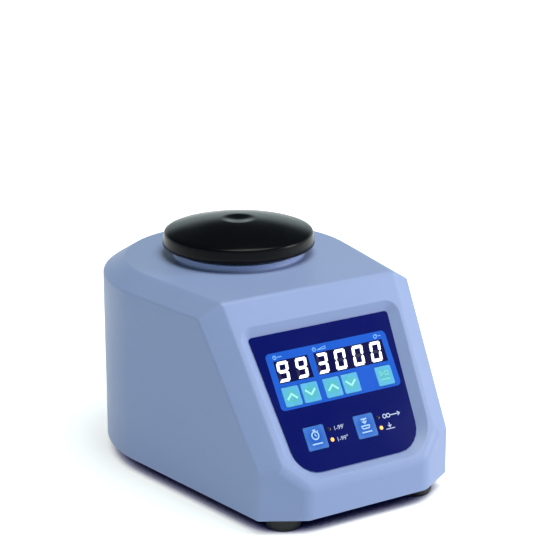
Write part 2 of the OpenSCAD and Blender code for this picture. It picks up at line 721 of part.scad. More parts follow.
module motor_end_bell() {
    color("#a7adb5")
    on_axis(can_top + pad_gap) difference() {
        union() {
            cylinder(r = motor_r, h = bell_t - 2 * pad_gap);
            translate([0, 0, -4]) cylinder(r = bearing_r + 3, h = 4 + eps);
        }
        translate([0, 0, upper_bearing_z - can_top - pad_gap]) cylinder(r = bearing_r + fit, h = bearing_h + 1);
        translate([0, 0, -5]) cylinder(r = shaft_r + 2, h = bell_t + 6);
        for (a = [0 : 90 : 270]) rotate([0, 0, a])
            translate([motor_bolt_r, 0, bell_t - 5]) cylinder(r = motor_bolt + fit, h = 6);
    }
}
module motor_screws() {
    color("#b8bcc4")
    on_axis(plate_z) for (a = [0 : 90 : 270]) rotate([0, 0, a]) translate([motor_bolt_r, 0, 1.7])
        rotate([180, 0, 0]) screw(3.4, 1.7, motor_bolt, carriage_t + 4);
}
module stator() {
    color("#b4713a")
    on_axis(can_low + 12) difference() {
        union() {
            translate([0, 0, 4]) cylinder(r = motor_r - can_wall - fit, h = 20);
            translate([0, 0, 0]) cylinder(r = motor_r - can_wall - 2, h = 27);
        }
        translate([0, 0, -1]) cylinder(r = 21, h = 30);
        for (a = [0 : 30 : 330]) rotate([0, 0, a]) translate([22.5, -1, 3]) cube([3, 2, 21]);
    }
}
module rotor_core() {
    color("#6a6f78")
    on_axis(can_low + 15) difference() {
        cylinder(r = 20.4, h = 22);
        translate([0, 0, -1]) cylinder(r = shaft_r + fit, h = 24);
        for (a = [0 : 60 : 300]) rotate([0, 0, a]) translate([12, 0, -1]) cylinder(r = 2.5, h = 24);
    }
}
module motor_shaft() {
    color("#d0d4da")
    on_axis(lower_bearing_z) cylinder(r = shaft_r, h = hub_z + hub_h - 2 - lower_bearing_z);
}
module ring_bearing(z) {
    translate([0, 0, z]) difference() {
        cylinder(r = bearing_r, h = bearing_h);
        translate([0, 0, -1]) cylinder(r = shaft_r + 0.03, h = bearing_h + 2);
        for (h = [-eps, bearing_h - 0.4]) translate([0, 0, h]) difference() {
            cylinder(r = bearing_r - 2, h = 0.4 + eps);
            translate([0, 0, -1]) cylinder(r = shaft_r + 2, h = 3);
        }
    }
}
module motor_bearings() {
    color("#d8dbe0")
    on_axis() {
        ring_bearing(lower_bearing_z + pad_gap);
        ring_bearing(upper_bearing_z + pad_gap);
    }
}
module eccentric_hub() {
    color("#8a8f97")
    difference() {
        union() {
            on_hub(hub_z) cylinder(r = 11, h = hub_h);
            on_hub(hub_z) difference() {
                cylinder(r = 18.5, h = hub_h - 2);
                translate([-20, 0, -1]) cube([40, 20, hub_h]);
            }
            on_crank(pin_z - eps) cylinder(r = shaft_r, h = pin_top - pin_z + eps);
            on_crank(pin_z - eps) cylinder(r = shaft_r + 2, h = 1.5 + eps);
        }
        on_hub(hub_z - 1) cylinder(r = shaft_r + fit, h = hub_h - 0.9);
        on_hub(hub_z + 5) rotate([-90, 0, 0]) cylinder(r = 1.5 + fit, h = 20);
    }
}
module hub_set_screw() {
    color("#3c3f45")
    on_hub(hub_z + 5) rotate([-90, 0, 0]) translate([0, 0, shaft_r + 0.1]) difference() {
        cylinder(r = 1.5, h = 6);
        translate([0, 0, 4.5]) cylinder(r = 0.7, h = 3, $fn = 6);
    }
}
upper_crank_z = pin_top - bearing_h - 1;
module crank_bearings() {
    color("#d8dbe0")
    on_crank() {
        ring_bearing(pin_z + 1.5 + pad_gap);
        ring_bearing(upper_crank_z);
    }
}
module head_core() {
    color("#b9bec6")
    on_crank() difference() {
        union() {
            translate([0, 0, boss_z]) cylinder(r = crank_boss_r, h = core_z - boss_z + eps);
            translate([0, 0, core_z]) cylinder(r = core_r, h = core_t);
        }
        translate([0, 0, boss_z - 1])
            cylinder(r = bearing_r + fit, h = pin_z + 1.5 + bearing_h + 2 * pad_gap - boss_z + 1);
        translate([0, 0, boss_z - 1]) cylinder(r = bearing_r - 1.5, h = upper_crank_z - boss_z + 2);
        translate([0, 0, upper_crank_z - pad_gap]) cylinder(r = bearing_r + fit, h = core_z - 1 - upper_crank_z);
    }
}
boot_t = 1.2;
module head_boot() {
    color("#1b1d22")
    on_crank() rotate_extrude() polygon([
        [crank_boss_r + fit, core_z - 4.5], [crank_boss_r + 3, core_z - 4.5], [24, core_z - 6], [28, core_z - 10],
        [30.8, core_z - 14], [29, core_z - 18], [31.2, core_z - 23], [31.2, plate_z + 0.4], [33.2, plate_z + 0.4],
        [33.2, core_z - 22.6], [31.2, core_z - 18], [32.6, core_z - 14], [29.4, core_z - 9.4],
        [25, core_z - 4.6], [crank_boss_r + 3.5, core_z - 1], [crank_boss_r + fit, core_z - 1]]);
}
module rubber_platform() {
    color("#0e1116")
    on_crank() difference() {
        rotate_extrude() polygon(concat(
            [[0, rim_z], [platform_r + rim_flare - 0.8, rim_z], [platform_r + rim_flare, rim_z + 0.8],
             [platform_r + 0.3, crease_z - 1.4], [platform_r - 0.2, crease_z - 0.4],
             [platform_r - 1.2, crease_z + 0.3]],
            [for (i = [1 : 12]) let (r = (platform_r - 1.2) * (1 - i / 12) + dimple_r * i / 12)
                [r, crease_z + dome_h * (1 - (r / platform_r) * (r / platform_r))]],
            [for (i = [1 : 5]) let (r = dimple_r * (1 - i / 5), s = r / dimple_r)
                [r, crease_z + dome_h * (1 - (r / platform_r) * (r / platform_r)) - dimple_h * (1 - s * s)]]));
        translate([0, 0, rim_z - 1]) cylinder(r = core_r + fit, h = core_z + core_t + pad_gap - rim_z + 1);
    }
}

// ---- Touch switch: the sprung carriage presses its lever when the head is pushed ----
switch_y = -40;
switch_top = plate_low - 5.7;
lever_hinge = [8, switch_y, switch_top + 1.2];
module touch_bracket() {
    color("#9aa0a8")
    on_axis() difference() {
        union() {
            translate([-9, switch_y - 6.5, base_top]) cube([18, 2.5, switch_top - 1 - base_top]);
            translate([-9, switch_y - 18, base_top]) cube([18, 14, 2.5]);
        }
        for (p = touch_hole) translate([p[0], p[1], base_top - 1]) cylinder(r = 1.5 + fit, h = 6);
        for (x = [-5, 5]) translate([x, switch_y - 10, switch_top - 5]) rotate([-90, 0, 0])
            cylinder(r = 1 + fit, h = 8);
    }
}
module touch_switch() {
    color("#22242a")
    on_axis() difference() {
        union() {
            translate([-10, switch_y - 4 + pad_gap, switch_top - 10]) cube([20, 6.4, 10]);
            translate([6.5, switch_y - 4 + pad_gap, switch_top - eps]) cube([3, 1.2, 2.2]);
            translate([6.5, switch_y + 1.2 + pad_gap, switch_top - eps]) cube([3, 1.2, 2.2]);
        }
        translate([lever_hinge[0], switch_y - 5, lever_hinge[2]]) rotate([-90, 0, 0])
            cylinder(r = 0.5 + fit, h = 9);
        for (x = [-5, 5]) translate([x, switch_y - 5, switch_top - 5]) rotate([-90, 0, 0])
            cylinder(r = 1 + fit, h = 9);
    }
}
module touch_lever() {
    color("#c9ccd2")
    on_axis() translate(lever_hinge) {
        rotate([-90, 0, 0]) translate([0, 0, -3.8]) cylinder(r = 0.5, h = 6);
        translate([-0.5, -2.4, -0.3]) cube([1, 3.2, 0.6 + eps]);
        rotate([0, 7, 0]) translate([-19, -2.4, -0.3]) cube([19, 3.2, 0.6]);
        rotate([0, 7, 0]) translate([-18, -0.8, 0.9]) rotate([90, 0, 0]) translate([0, 0, -1.6])
            cylinder(r = 1.2, h = 3.2);
    }
}
module touch_screws() {
    color("#b8bcc4")
    on_axis() {
        for (p = touch_hole) translate([p[0], p[1], base_top + 2.5 + 1.6]) rotate([180, 0, 0])
            screw(2.8, 1.6, 1.5, base_t + 1.5);
        for (x = [-5, 5]) translate([x, switch_y - 6.5 - 1.5, switch_top - 5]) rotate([-90, 0, 0])
            screw(2, 1.5, 1, 8);
    }
}

// ---- Driver board on the base ----
driver_z = base_top + 6;
driver_t = 1.6;
supply_block = [[-34, -2, 0], [8, 14, 9]];
display_socket = [[-10, 10, 0], [20, 8, 6]];
module driver_board() {
    color("#1d6b3a")
    on_axis(driver_z) difference() {
        translate([-37, driver_y - 23, 0]) cube([74, 46, driver_t]);
        for (p = driver_places) translate([p[0], p[1], -1]) cylinder(r = 1.5 + gap, h = 4);
    }
}
module driver_standoffs() {
    color("#d9dadf")
    on_axis(base_top) for (p = driver_places) translate([p[0], p[1], 0]) difference() {
        cylinder(r = 3, h = 6);
        translate([0, 0, -1]) cylinder(r = 1.5 + fit, h = 8);
    }
}
module driver_screws() {
    color("#b8bcc4")
    on_axis(driver_z + driver_t + 1.6) for (p = driver_places) translate([p[0], p[1], 0]) rotate([180, 0, 0])
        screw(2.8, 1.6, 1.5, driver_t + 6 + 2);
}
module driver_parts() {
    color("#2d4f9a")
    on_axis(driver_z + driver_t) translate([0, driver_y, 0]) {
        for (x = [-14, 4]) translate([x, -4, 0]) cylinder(r = 6.2, h = 15);
        for (b = [supply_block, display_socket, [[16, 2, 0], [14, 14, 11]], [[12, -18, 0], [12, 10, 7]]])
            translate(b[0]) cube(b[1]);
    }
}

// ---- Rear inlet and switch ----
module power_inlet() {
    color("#1a1c20")
    rear_place(inlet_x) {
        difference() {
            union() {
                translate([0, 0, 0.02]) cylinder(r = 5.6, h = 1.8);
                translate([0, 0, -13]) cylinder(r = inlet_r, h = 13.1);
            }
            translate([0, 0, -9]) cylinder(r = 2.85, h = 12);
        }
        translate([0, 0, -9.5]) cylinder(r = 1.05, h = 9.5);
    }
}
module inlet_nut() {
    color("#b8bcc4")
    rear_place(inlet_x) translate([0, 0, -rear_pad - 2.3]) difference() {
        cylinder(r = 6.2, h = 2.25, $fn = 6);
        translate([0, 0, -1]) cylinder(r = inlet_r + fit, h = 5);
    }
}
module power_switch() {
    color("#16181c")
    rear_place(switch_x) difference() {
        union() {
            translate([-switch_w / 2 - 1.4, -switch_l / 2 - 1.2, 0.02])
                cube([switch_w + 2.8, switch_l + 2.4, 1.8]);
            translate([-switch_w / 2, -switch_l / 2, -14]) cube([switch_w, switch_l, 14.1]);
        }
        translate([-switch_w / 2 + 1.2, -switch_l / 2 + 1.2, -7.5]) cube([switch_w - 2.4, switch_l - 2.4, 12]);
        translate([0, 0, -0.5]) rotate([90, 0, 0]) cylinder(r = 1 + fit, h = switch_l - 1, center = true);
    }
}
rocker_r = 17;
module power_rocker() {
    color("#26292f")
    rear_place(switch_x) translate([0, 0, -0.5]) rotate([0, 9, 0]) {
        rotate([90, 0, 0]) linear_extrude(switch_l - 3, center = true) polygon(concat(
            [[-7.3, -0.4], [-2, -4.6], [2, -4.6], [7.3, -0.4]],
            [for (i = [0 : 8]) let (a = 65 + 50 * i / 8) [rocker_r * cos(a), 19.4 - rocker_r * sin(a)]]));
        rotate([90, 0, 0]) cylinder(r = 1, h = switch_l - 1.3, center = true);
    }
}

// ---- Wiring: from the driver board to the inlet and to the control board ----
wire_in = 16;
wire_ring = back_r - wall - 15.6;
function wire_x(y) = wire_in - half_w(y, wall);
function ring_point(a, z) = [wire_ring * cos(a), wire_ring * sin(a), z];
supply_top = [supply_block[0][0] + supply_block[1][0] / 2,
    driver_y + supply_block[0][1] + supply_block[1][1] / 2, driver_z + driver_t + supply_block[1][2]];
socket_top = [0, driver_y + display_socket[0][1] + display_socket[1][1] / 2,
    driver_z + driver_t + display_socket[1][2]];
inlet_end = [inlet_x, back_r - rear_depth - 13, low_z + rear_z];
slope_up = [0, cos(slope_ang), sin(slope_ang)];
slope_in = [0, sin(slope_ang), -cos(slope_ang)];
socket_back = [0, -top_reach, top_z] + socket_v * slope_up + (board_t + 6 - board_z) * slope_in;
module wiring() {
    color("#b03030")
    on_axis() {
        swept_tube(curve(concat(wire_end(supply_top, [0, 0, 1]), [
            [-37, driver_y + 14, driver_z + 13], [wire_x(-60), -60, base_top + 9],
            [wire_x(-20), -20, base_top + 3.2], [wire_x(20) + 3, 20, base_top + 8],
            ring_point(140, base_top + 14), ring_point(118, low_z + rear_z)],
            reversed(wire_end(inlet_end, [0, -1, 0])))), 1.6, 8);
        swept_tube(curve(concat(wire_end(socket_top, [0, 0, 1]), [socket_top + [0, 6, 16]],
            reversed(wire_end(socket_back, slope_in)))), 2, 8);
    }
}

upper_housing();
base_plate();
base_screws();
rubber_feet();
foot_screws();
ballast_plate();
panel_film();
display_field();
time_window();
speed_window();
time_digits();
speed_digits();
time_display();
speed_display();
key_time_up();
key_time_down();
key_speed_up();
key_speed_down();
key_start_stop();
key_time_unit();
key_mode();
lamps_lit();
lamps_unlit();
control_board();
tact_switches();
board_chips();
board_screws();
motor_plate();
guide_posts();
post_nuts();
guide_bushes();
carriage_springs();
motor_can();
motor_end_bell();
motor_screws();
stator();
rotor_core();
motor_shaft();
motor_bearings();
eccentric_hub();
hub_set_screw();
crank_bearings();
head_core();
head_boot();
rubber_platform();
touch_switch();
touch_lever();
touch_bracket();
touch_screws();
driver_board();
driver_parts();
driver_standoffs();
driver_screws();
power_inlet();
inlet_nut();
power_switch();
power_rocker();
wiring();
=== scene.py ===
"""Vortex mixer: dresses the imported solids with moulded, printed and turned pieces."""
import json
import math

import bpy
from mathutils import Matrix, Vector


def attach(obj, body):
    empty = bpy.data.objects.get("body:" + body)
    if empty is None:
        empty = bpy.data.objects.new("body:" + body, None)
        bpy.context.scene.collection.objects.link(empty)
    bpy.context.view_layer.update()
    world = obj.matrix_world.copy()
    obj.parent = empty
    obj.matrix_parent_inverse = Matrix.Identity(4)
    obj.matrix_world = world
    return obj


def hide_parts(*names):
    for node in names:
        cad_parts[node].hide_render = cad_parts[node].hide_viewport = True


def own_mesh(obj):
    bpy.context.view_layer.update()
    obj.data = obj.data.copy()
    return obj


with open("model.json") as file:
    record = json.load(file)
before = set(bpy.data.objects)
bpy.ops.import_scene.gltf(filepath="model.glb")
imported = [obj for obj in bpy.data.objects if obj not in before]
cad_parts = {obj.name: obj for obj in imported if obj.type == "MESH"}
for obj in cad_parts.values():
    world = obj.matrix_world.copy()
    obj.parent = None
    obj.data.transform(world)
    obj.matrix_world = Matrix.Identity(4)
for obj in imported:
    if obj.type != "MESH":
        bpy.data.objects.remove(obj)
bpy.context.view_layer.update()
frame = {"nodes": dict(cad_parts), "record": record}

bl_info = {
    "name": "Vortex Mixer",
    "version": (1, 0, 0),
    "blender": (4, 5, 0),
    "location": "View3D > Sidebar > Vortex Mixer",
    "description": "Builds the moulded housing, keypad, shaker head and feet of a vortex mixer",
    "category": "Object",
}

MM = 0.001

# Housing, in millimetres: the motor axis stands behind the middle of the length
AXIS_Y = 28.2
BACK_R = 78.6
FRONT_REACH = 135.0
TOP_REACH = 75.4
SIDE_TAPER = math.radians(8.1)
LOW_Z = 8.0
BODY_H = 108.3
TOP_Z = LOW_Z + BODY_H
SLOPE = math.radians(56.5)
SLOPE_NORMAL = Vector((0, -math.sin(SLOPE), math.cos(SLOPE)))
BEVEL_DROP = 8.0
BEVEL_IN = 12.6
CORNER_IN = 21.6
CORNER_BACK = 13.9
BEND_H = 27.5
WALL = 2.8
# Rest place of the crank, which the head is centred on
CRANK_X = 1.19
CRANK_Y = AXIS_Y + 1.91
# Flats that make up the round back, outside and in the cavity
BACK_FACETS = 44
CAVITY_FACETS = 24

# Recess and film on the sloped face, in millimetres down the slope from its top edge
FILM_TOP = 21.1
FILM_LEN = 79.0
FILM_TOP_HALF = 45.65
FILM_LOW_HALF = 39.7
FILM_R_TOP = 2.0
FILM_R_LOW = 15.5
FLOOR_DEPTH = 3.5
FLOOR_WALL = 2.5
FILM_Z = -2.9
# Side wall of the recess from the face to the floor: distance out from the film, height over the floor
RECESS_WALL = [(6.6, 3.5), (6.2, 3.44), (5.8, 3.26), (0.85, 0.24), (0.6, 0.1), (0.25, 0.0)]
# Width of the wall above and below the film, as a share of its width at the sides
TOP_SHARE = 0.86
LOW_SHARE = 0.66
RECESS_TOP = 12.0

# Collar under the platform: distance from the motor axis, height over the top
COLLAR = [(38.8, -1.0), (38.8, 0.0), (38.1, 0.12), (37.5, 0.5), (37.1, 1.1), (37.0, 2.0), (37.0, 2.9),
          (36.8, 3.35), (36.3, 3.6), (34.4, 3.6), (33.0, 3.3)]
COLLAR_BORE_R = 33.5

# Rear flat, the pad of plastic left behind it, and the holes for the inlet and the switch
FLAT_HALF = 26.0
FLAT_LOW = 21.0
FLAT_TOP = 47.0
FLAT_DEPTH = 4.6
FLAT_PAD = 3.0
FLAT_SOFT = 0.8
HOLE_REACH = 8.0
INLET_X = -13.0
INLET_R = 4.04
SWITCH_X = 11.0
SWITCH_HALF_W = 9.54
SWITCH_HALF_H = 6.54

# Doubled vertices merge within the first distance, so a turned solid closes at a pole of the second radius
MERGE_WITHIN = 0.002
POLE_R = 0.01
# How far a tool reaches past what it cuts
OVERRUN = 6.0


def half_width(y, inset=0.0):
    """Half the width of the housing at y millimetres behind the motor axis."""
    return (BACK_R - inset) / math.cos(SIDE_TAPER) + y * math.tan(SIDE_TAPER)


# ---- working helpers ---------------------------------------------------------

def start():
    """Leave edit mode and deselect everything, before a new primitive is added."""
    if bpy.context.object and bpy.context.object.mode != "OBJECT":
        bpy.ops.object.mode_set(mode="OBJECT")
    bpy.ops.object.select_all(action="DESELECT")


def activate(obj):
    """Make one object the active one and the only one selected."""
    start()
    obj.select_set(True)
    bpy.context.view_layer.objects.active = obj


def edit(obj):
    """Enter edit mode with the whole mesh selected."""
    activate(obj)
    bpy.ops.object.mode_set(mode="EDIT")
    bpy.ops.mesh.select_mode(type="VERT")
    bpy.ops.mesh.select_all(action="SELECT")


def pick(obj, kind, test):
    """Enter edit mode with only the vertices or faces selected that pass a test.

    A vertex is tested by its place in millimetres, and a face by its normal.
    """
    activate(obj)
    bpy.ops.object.mode_set(mode="EDIT")
    bpy.ops.mesh.select_mode(type=kind)
    bpy.ops.mesh.select_all(action="DESELECT")
    bpy.ops.object.mode_set(mode="OBJECT")
    if kind == "VERT":
        for v in obj.data.vertices:
            v.select = test(v.co / MM)
    else:
        for f in obj.data.polygons:
            f.select = test(f.normal)
    bpy.ops.object.mode_set(mode="EDIT")


def modify(obj, kind, **settings):
    """Add a modifier with its settings and apply it."""
    activate(obj)
    m = obj.modifiers.new(kind.title(), kind)
    for key, value in settings.items():
        setattr(m, key, value)
    bpy.ops.object.modifier_apply(modifier=m.name)


def cut(obj, tool, operation="DIFFERENCE"):
    """Combine a piece with a tool solid and delete the tool."""
    modify(obj, "BOOLEAN", operation=operation, object=tool, solver="EXACT", use_self=False)
    bpy.data.objects.remove(tool)


def place(obj, matrix=None):
    """Put a piece where it belongs and move that place into its mesh."""
    activate(obj)
    if matrix is not None:
        obj.matrix_world = matrix @ obj.matrix_world
    bpy.ops.object.transform_apply(location=True, rotation=True, scale=True)


def close_up(obj):
    """Merge doubled vertices and turn all faces outwards."""
    edit(obj)
    bpy.ops.mesh.remove_doubles(threshold=MERGE_WITHIN * MM)
    bpy.ops.mesh.normals_make_consistent(inside=False)
    bpy.ops.object.mode_set(mode="OBJECT")


def smooth(obj, angle, weighted=True):
    """Smooth shading up to an angle, with flat areas kept flat."""
    activate(obj)
    bpy.ops.object.shade_smooth_by_angle(angle=math.radians(angle))
    if weighted:
        modify(obj, "WEIGHTED_NORMAL", mode="FACE_AREA_WITH_ANGLE", weight=80, keep_sharp=True)


def hand_over(obj, name, material, body, slot, *nodes):
    """Name a finished piece, dress it, hang it on the body that it rides on, and hide the imported solids
    that it stands for.
    """
    obj.name = name
    obj.data.name = name
    obj.data.materials.clear()
    obj.data.materials.append(material)
    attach(obj, body)
    if nodes:
        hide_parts(*nodes)


def joined(pieces):
    """Join several objects into one."""
    start()
    for p in pieces:
        p.select_set(True)
    bpy.context.view_layer.objects.active = pieces[0]
    bpy.ops.object.join()
    return pieces[0]


def copy_of(obj, matrix):
    """A copy with its own mesh, moved by a matrix in millimetres."""
    twin = obj.copy()
    twin.data = obj.data.copy()
    bpy.context.scene.collection.objects.link(twin)
    twin.data.transform(Matrix.Scale(MM, 4) @ matrix @ Matrix.Scale(1 / MM, 4))
    return twin


def turned(profile, centre, segments):
    """A turned solid: a circle extruded ring by ring along (radius, height) points, closed at both ends."""
    start()
    r, z = max(profile[0][0], POLE_R), profile[0][1]
    c = Vector(centre) * MM
    bpy.ops.mesh.primitive_circle_add(vertices=segments, radius=r * MM, fill_type="NOTHING",
                                      location=c + Vector((0, 0, z * MM)))
    obj = bpy.context.object
    bpy.ops.object.transform_apply(location=True, rotation=True, scale=True)
    edit(obj)
    bpy.ops.mesh.edge_face_add()
    for nr, nz in profile[1:]:
        nr = max(nr, POLE_R)
        bpy.ops.mesh.extrude_region_move(TRANSFORM_OT_translate={"value": (0, 0, (nz - z) * MM)})
        bpy.ops.transform.resize(value=(nr / r, nr / r, 1), center_override=c + Vector((0, 0, nz * MM)))
        r, z = nr, nz
    bpy.ops.object.mode_set(mode="OBJECT")
    close_up(obj)
    return obj


def block(low, high):
    """A plain block between two corners, used as a tool or as a start."""
    start()
    low, high = Vector(low) * MM, Vector(high) * MM
    bpy.ops.mesh.primitive_cube_add(size=1, location=(low + high) / 2)
    obj = bpy.context.object
    obj.scale = high - low
    place(obj)
    return obj


def rounded_slab(corners, radii, low, high, segments):
    """A slab whose outline has rounded corners, lying in its own plane."""
    start()
    bpy.ops.mesh.primitive_plane_add(size=2 * MM)
    obj = bpy.context.object
    by_place = {(-1, -1): 0, (1, -1): 1, (1, 1): 2, (-1, 1): 3}
    for v in obj.data.vertices:
        i = by_place[(round(v.co.x / MM), round(v.co.y / MM))]
        v.co = Vector((corners[i][0] * MM, corners[i][1] * MM, low * MM))
    for i, radius in enumerate(radii):
        here = Vector(corners[i])
        one = (Vector(corners[i - 1]) - here).normalized()
        two = (Vector(corners[(i + 1) % 4]) - here).normalized()
        reach = radius / math.tan(one.angle(two) / 2)
        pick(obj, "VERT", lambda co: (co.xy - here).length < 0.01)
        bpy.ops.mesh.bevel(affect="VERTICES", offset=reach * MM, segments=segments, profile=0.5,
                           clamp_overlap=False)
    edit(obj)
    bpy.ops.mesh.extrude_region_move(TRANSFORM_OT_translate={"value": (0, 0, (high - low) * MM)})
    bpy.ops.object.mode_set(mode="OBJECT")
    close_up(obj)
    return obj


def box_corners(x, v, w, l):
    """Corners of an upright rectangle on the sloped face."""
    left, right, low, top = x - w / 2, x + w / 2, -v - l / 2, -v + l / 2
    return [(left, low), (right, low), (right, top), (left, top)]


def film_corners(side, above, below):
    """Corners of the film's outline, grown outwards at the sides, above and below."""
    run = (FILM_TOP_HALF - FILM_LOW_HALF) / FILM_LEN
    low, top = FILM_TOP + FILM_LEN + below, FILM_TOP - above

    def half(v):
        return FILM_TOP_HALF - run * (v - FILM_TOP) + side
    return [(-half(low), -low), (half(low), -low), (half(top), -top), (-half(top), -top)]


# Takes a piece laid out in the plane of the sloped face to its place
ON_SLOPE = (Matrix.Translation(Vector((0, AXIS_Y - TOP_REACH, TOP_Z)) * MM)
            @ Matrix.Rotation(SLOPE, 4, "X"))


# ---- printed marks -----------------------------------------------------------

def line(points, width, level):
    """A printed line through points of the sloped face, as one block for each stretch."""
    pieces = []
    for here, there in zip(points, points[1:]):
        run = there - here
        reach = run.length / 2 + width / 3
        piece = block((-reach, -width / 2, level[0]), (reach, width / 2, level[1]))
        place(piece, Matrix.Translation((here + there) / 2 * MM)
              @ Matrix.Rotation(math.atan2(run.y, run.x), 4, "Z"))
        pieces.append(piece)
    return pieces


def ring(middle, radius, width, sides, level):
    """A printed ring on the sloped face."""
    outer, inner = radius + width / 2, radius - width / 2
    piece = turned([(outer, level[0]), (outer, level[1])], middle, sides)
    cut(piece, turned([(inner, level[0] - 1), (inner, level[1] + 1)], middle, sides))
    return piece


def sign(x, v, level, rings=(), lines=()):
    """The printed marks of one sign, which stands at a place across and down the slope."""
    at = Vector((x, -v, 0))
    pieces = [ring(at + Vector((across, up, 0)), radius, width, sides, level)
              for across, up, radius, width, sides in rings]
    for width, *points in lines:
        pieces += line([at + Vector(point + (0,)) for point in points], width, level)
    return pieces


# ---- materials ---------------------------------------------------------------

def colour(code):
    """Linear colour of an sRGB hex value."""
    parts = [int(code[i:i + 2], 16) / 255 for i in (1, 3, 5)]
    return tuple(p / 12.92 if p <= 0.04045 else ((p + 0.055) / 1.055) ** 2.4 for p in parts) + (1.0,)


def node(tree, kind, links=None, **settings):
    """Add a node, set its properties and its inputs, and link what is given as a socket."""
    n = tree.nodes.new(kind)
    for key, value in settings.items():
        setattr(n, key, value)
    for key, value in (links or {}).items():
        if isinstance(value, bpy.types.NodeSocket):
            tree.links.new(value, n.inputs[key])
        else:
            n.inputs[key].default_value = value
    return n


MATERIALS = {}
MOTTLE_MM = 22

def material(name, base, roughness, grain_mm=0.6, grain=0.02, mottle=0.04, rough_mottle=0.05, **sockets):
    """A surface with a fine grain in its height, a slow mottle in its colour and an uneven gloss."""
    if name in MATERIALS:
        return MATERIALS[name]
    m = bpy.data.materials.new(name)
    m.use_nodes = True
    t = m.node_tree
    shader = t.nodes["Principled BSDF"]
    place_at = node(t, "ShaderNodeTexCoord").outputs["Object"]
    fine = node(t, "ShaderNodeTexNoise", {"Vector": place_at, "Scale": 1 / (grain_mm * MM), "Detail": 2.0,
                                          "Roughness": 0.5})
    slow = node(t, "ShaderNodeTexNoise", {"Vector": place_at, "Scale": 1 / (MOTTLE_MM * MM), "Detail": 3.0})
    dark = tuple(c * (1 - mottle) for c in base[:3]) + (1.0,)
    light = tuple(min(1.0, c * (1 + mottle)) for c in base[:3]) + (1.0,)
    # inputs 6 and 7 are the colour sockets of Mix, which share their names with the plain ones
    tint = node(t, "ShaderNodeMix", {0: slow.outputs["Fac"], 6: dark, 7: light}, data_type="RGBA")
    t.links.new(tint.outputs[2], shader.inputs["Base Color"])
    gloss = node(t, "ShaderNodeMapRange", {"Value": slow.outputs["Fac"], "From Min": 0.3, "From Max": 0.7,
                                           "To Min": max(0.02, roughness - rough_mottle),
                                           "To Max": min(1.0, roughness + rough_mottle)})
    t.links.new(gloss.outputs["Result"], shader.inputs["Roughness"])
    bump = node(t, "ShaderNodeBump", {"Height": fine.outputs["Fac"], "Strength": 0.35,
                                      "Distance": grain * MM})
    t.links.new(bump.outputs["Normal"], shader.inputs["Normal"])
    for key, value in sockets.items():
        shader.inputs[key.replace("_", " ")].default_value = value
    MATERIALS[name] = m
    return m


def settings():
    """The sizes and colours that the panel offers."""
    return bpy.context.scene.vortex_mixer


def housing_plastic():
    # moulded ABS with a fine spark texture: an even satin sheen with no sharp reflections
    return material("Moulded ABS pale blue grey", settings().housing_colour, 0.42, grain_mm=0.55, grain=0.012,
                    mottle=0.015, rough_mottle=0.03, IOR=1.5)


def film_navy():
    # screen-printed polyester film: a smooth satin skin over a deep even ink
    return material("Printed polyester film navy", settings().film_colour, 0.14, grain_mm=0.4, grain=0.002,
                    mottle=0.03, rough_mottle=0.02, IOR=1.5)


def film_blue():
    # the same polyester film over a bright blue ink
    return material("Printed polyester film blue", settings().field_colour, 0.14, grain_mm=0.4, grain=0.002,
                    mottle=0.03, rough_mottle=0.02, IOR=1.5)


def window_acrylic():
    # smoked clear acrylic: nearly black and polished, with a painted deep blue glow that stands in for the
    # numerals' light scattered in it
    return material("Smoked acrylic with painted glow", colour("#08061C"), 0.16, grain_mm=1.5, grain=0.001, mottle=0.1,
                    rough_mottle=0.02, IOR=1.49, Emission_Color=colour("#0A0E7A"), Emission_Strength=0.3)


def key_film():
    # embossed polyester key: the ink runs from teal in the middle to sky blue at the edge
    return shaded_key("Embossed polyester key cyan", settings().key_colour, settings().key_edge_colour)


def mode_film():
    # embossed polyester key: mid blue ink, a little lighter at the edge
    return shaded_key("Embossed polyester key blue", settings().mode_colour, settings().mode_edge_colour)


def shaded_key(name, middle, edge):
    """A key's film whose ink changes from the middle to the edge, by the cap's own UV map."""
    if name in MATERIALS:
        return MATERIALS[name]
    m = material(name, middle, 0.26, grain_mm=0.4, grain=0.003, mottle=0.03, rough_mottle=0.03, IOR=1.5)
    t = m.node_tree
    shader = t.nodes["Principled BSDF"]
    uv = node(t, "ShaderNodeUVMap", uv_map="cap")
    away = node(t, "ShaderNodeVectorMath", {0: uv.outputs["UV"], 1: (0.5, 0.5, 0.0)}, operation="DISTANCE")
    ramp = node(t, "ShaderNodeMapRange", {"Value": away.outputs["Value"], "From Min": 0.18, "From Max": 0.6},
                interpolation_type="SMOOTHSTEP")
    plain = shader.inputs["Base Color"].links[0].from_socket
    mixed = node(t, "ShaderNodeMix", {0: ramp.outputs["Result"], 6: plain, 7: edge}, data_type="RGBA")
    t.links.new(mixed.outputs[2], shader.inputs["Base Color"])
    return m


def pale_ink(name, code, glow):
    # translucent screen ink, flat and slightly chalky, with a painted glow that stands in for a trace of
    # light from behind
    return material(name, colour(code), 0.5, grain_mm=0.3, grain=0.003, mottle=0.03, rough_mottle=0.05,
                    Emission_Color=colour(code), Emission_Strength=glow)


def lit_segment():
    # light guide of a numeral, lit evenly from behind
    return material("Lit numeral diffuser", colour("#F4F6FF"), 0.5, grain_mm=0.3, grain=0.002, mottle=0.02,
                    Emission_Color=colour("#F1F2FF"), Emission_Strength=1.1)


def dark_segment():
    # the same diffuser with its lamp off: dull, with a painted violet glow that stands in for its neighbours'
    # light
    return material("Dark numeral diffuser with painted glow", colour("#0E0B1E"), 0.3, grain_mm=0.3, grain=0.002, mottle=0.05,
                    Emission_Color=colour("#2A148A"), Emission_Strength=0.2)


def lit_lens():
    # amber epoxy lens of a lit indicator
    return material("Amber lens lit", colour("#FFC267"), 0.25, grain_mm=0.4, grain=0.002, mottle=0.05,
                    Emission_Color=colour("#FFA53C"), Emission_Strength=1.3)


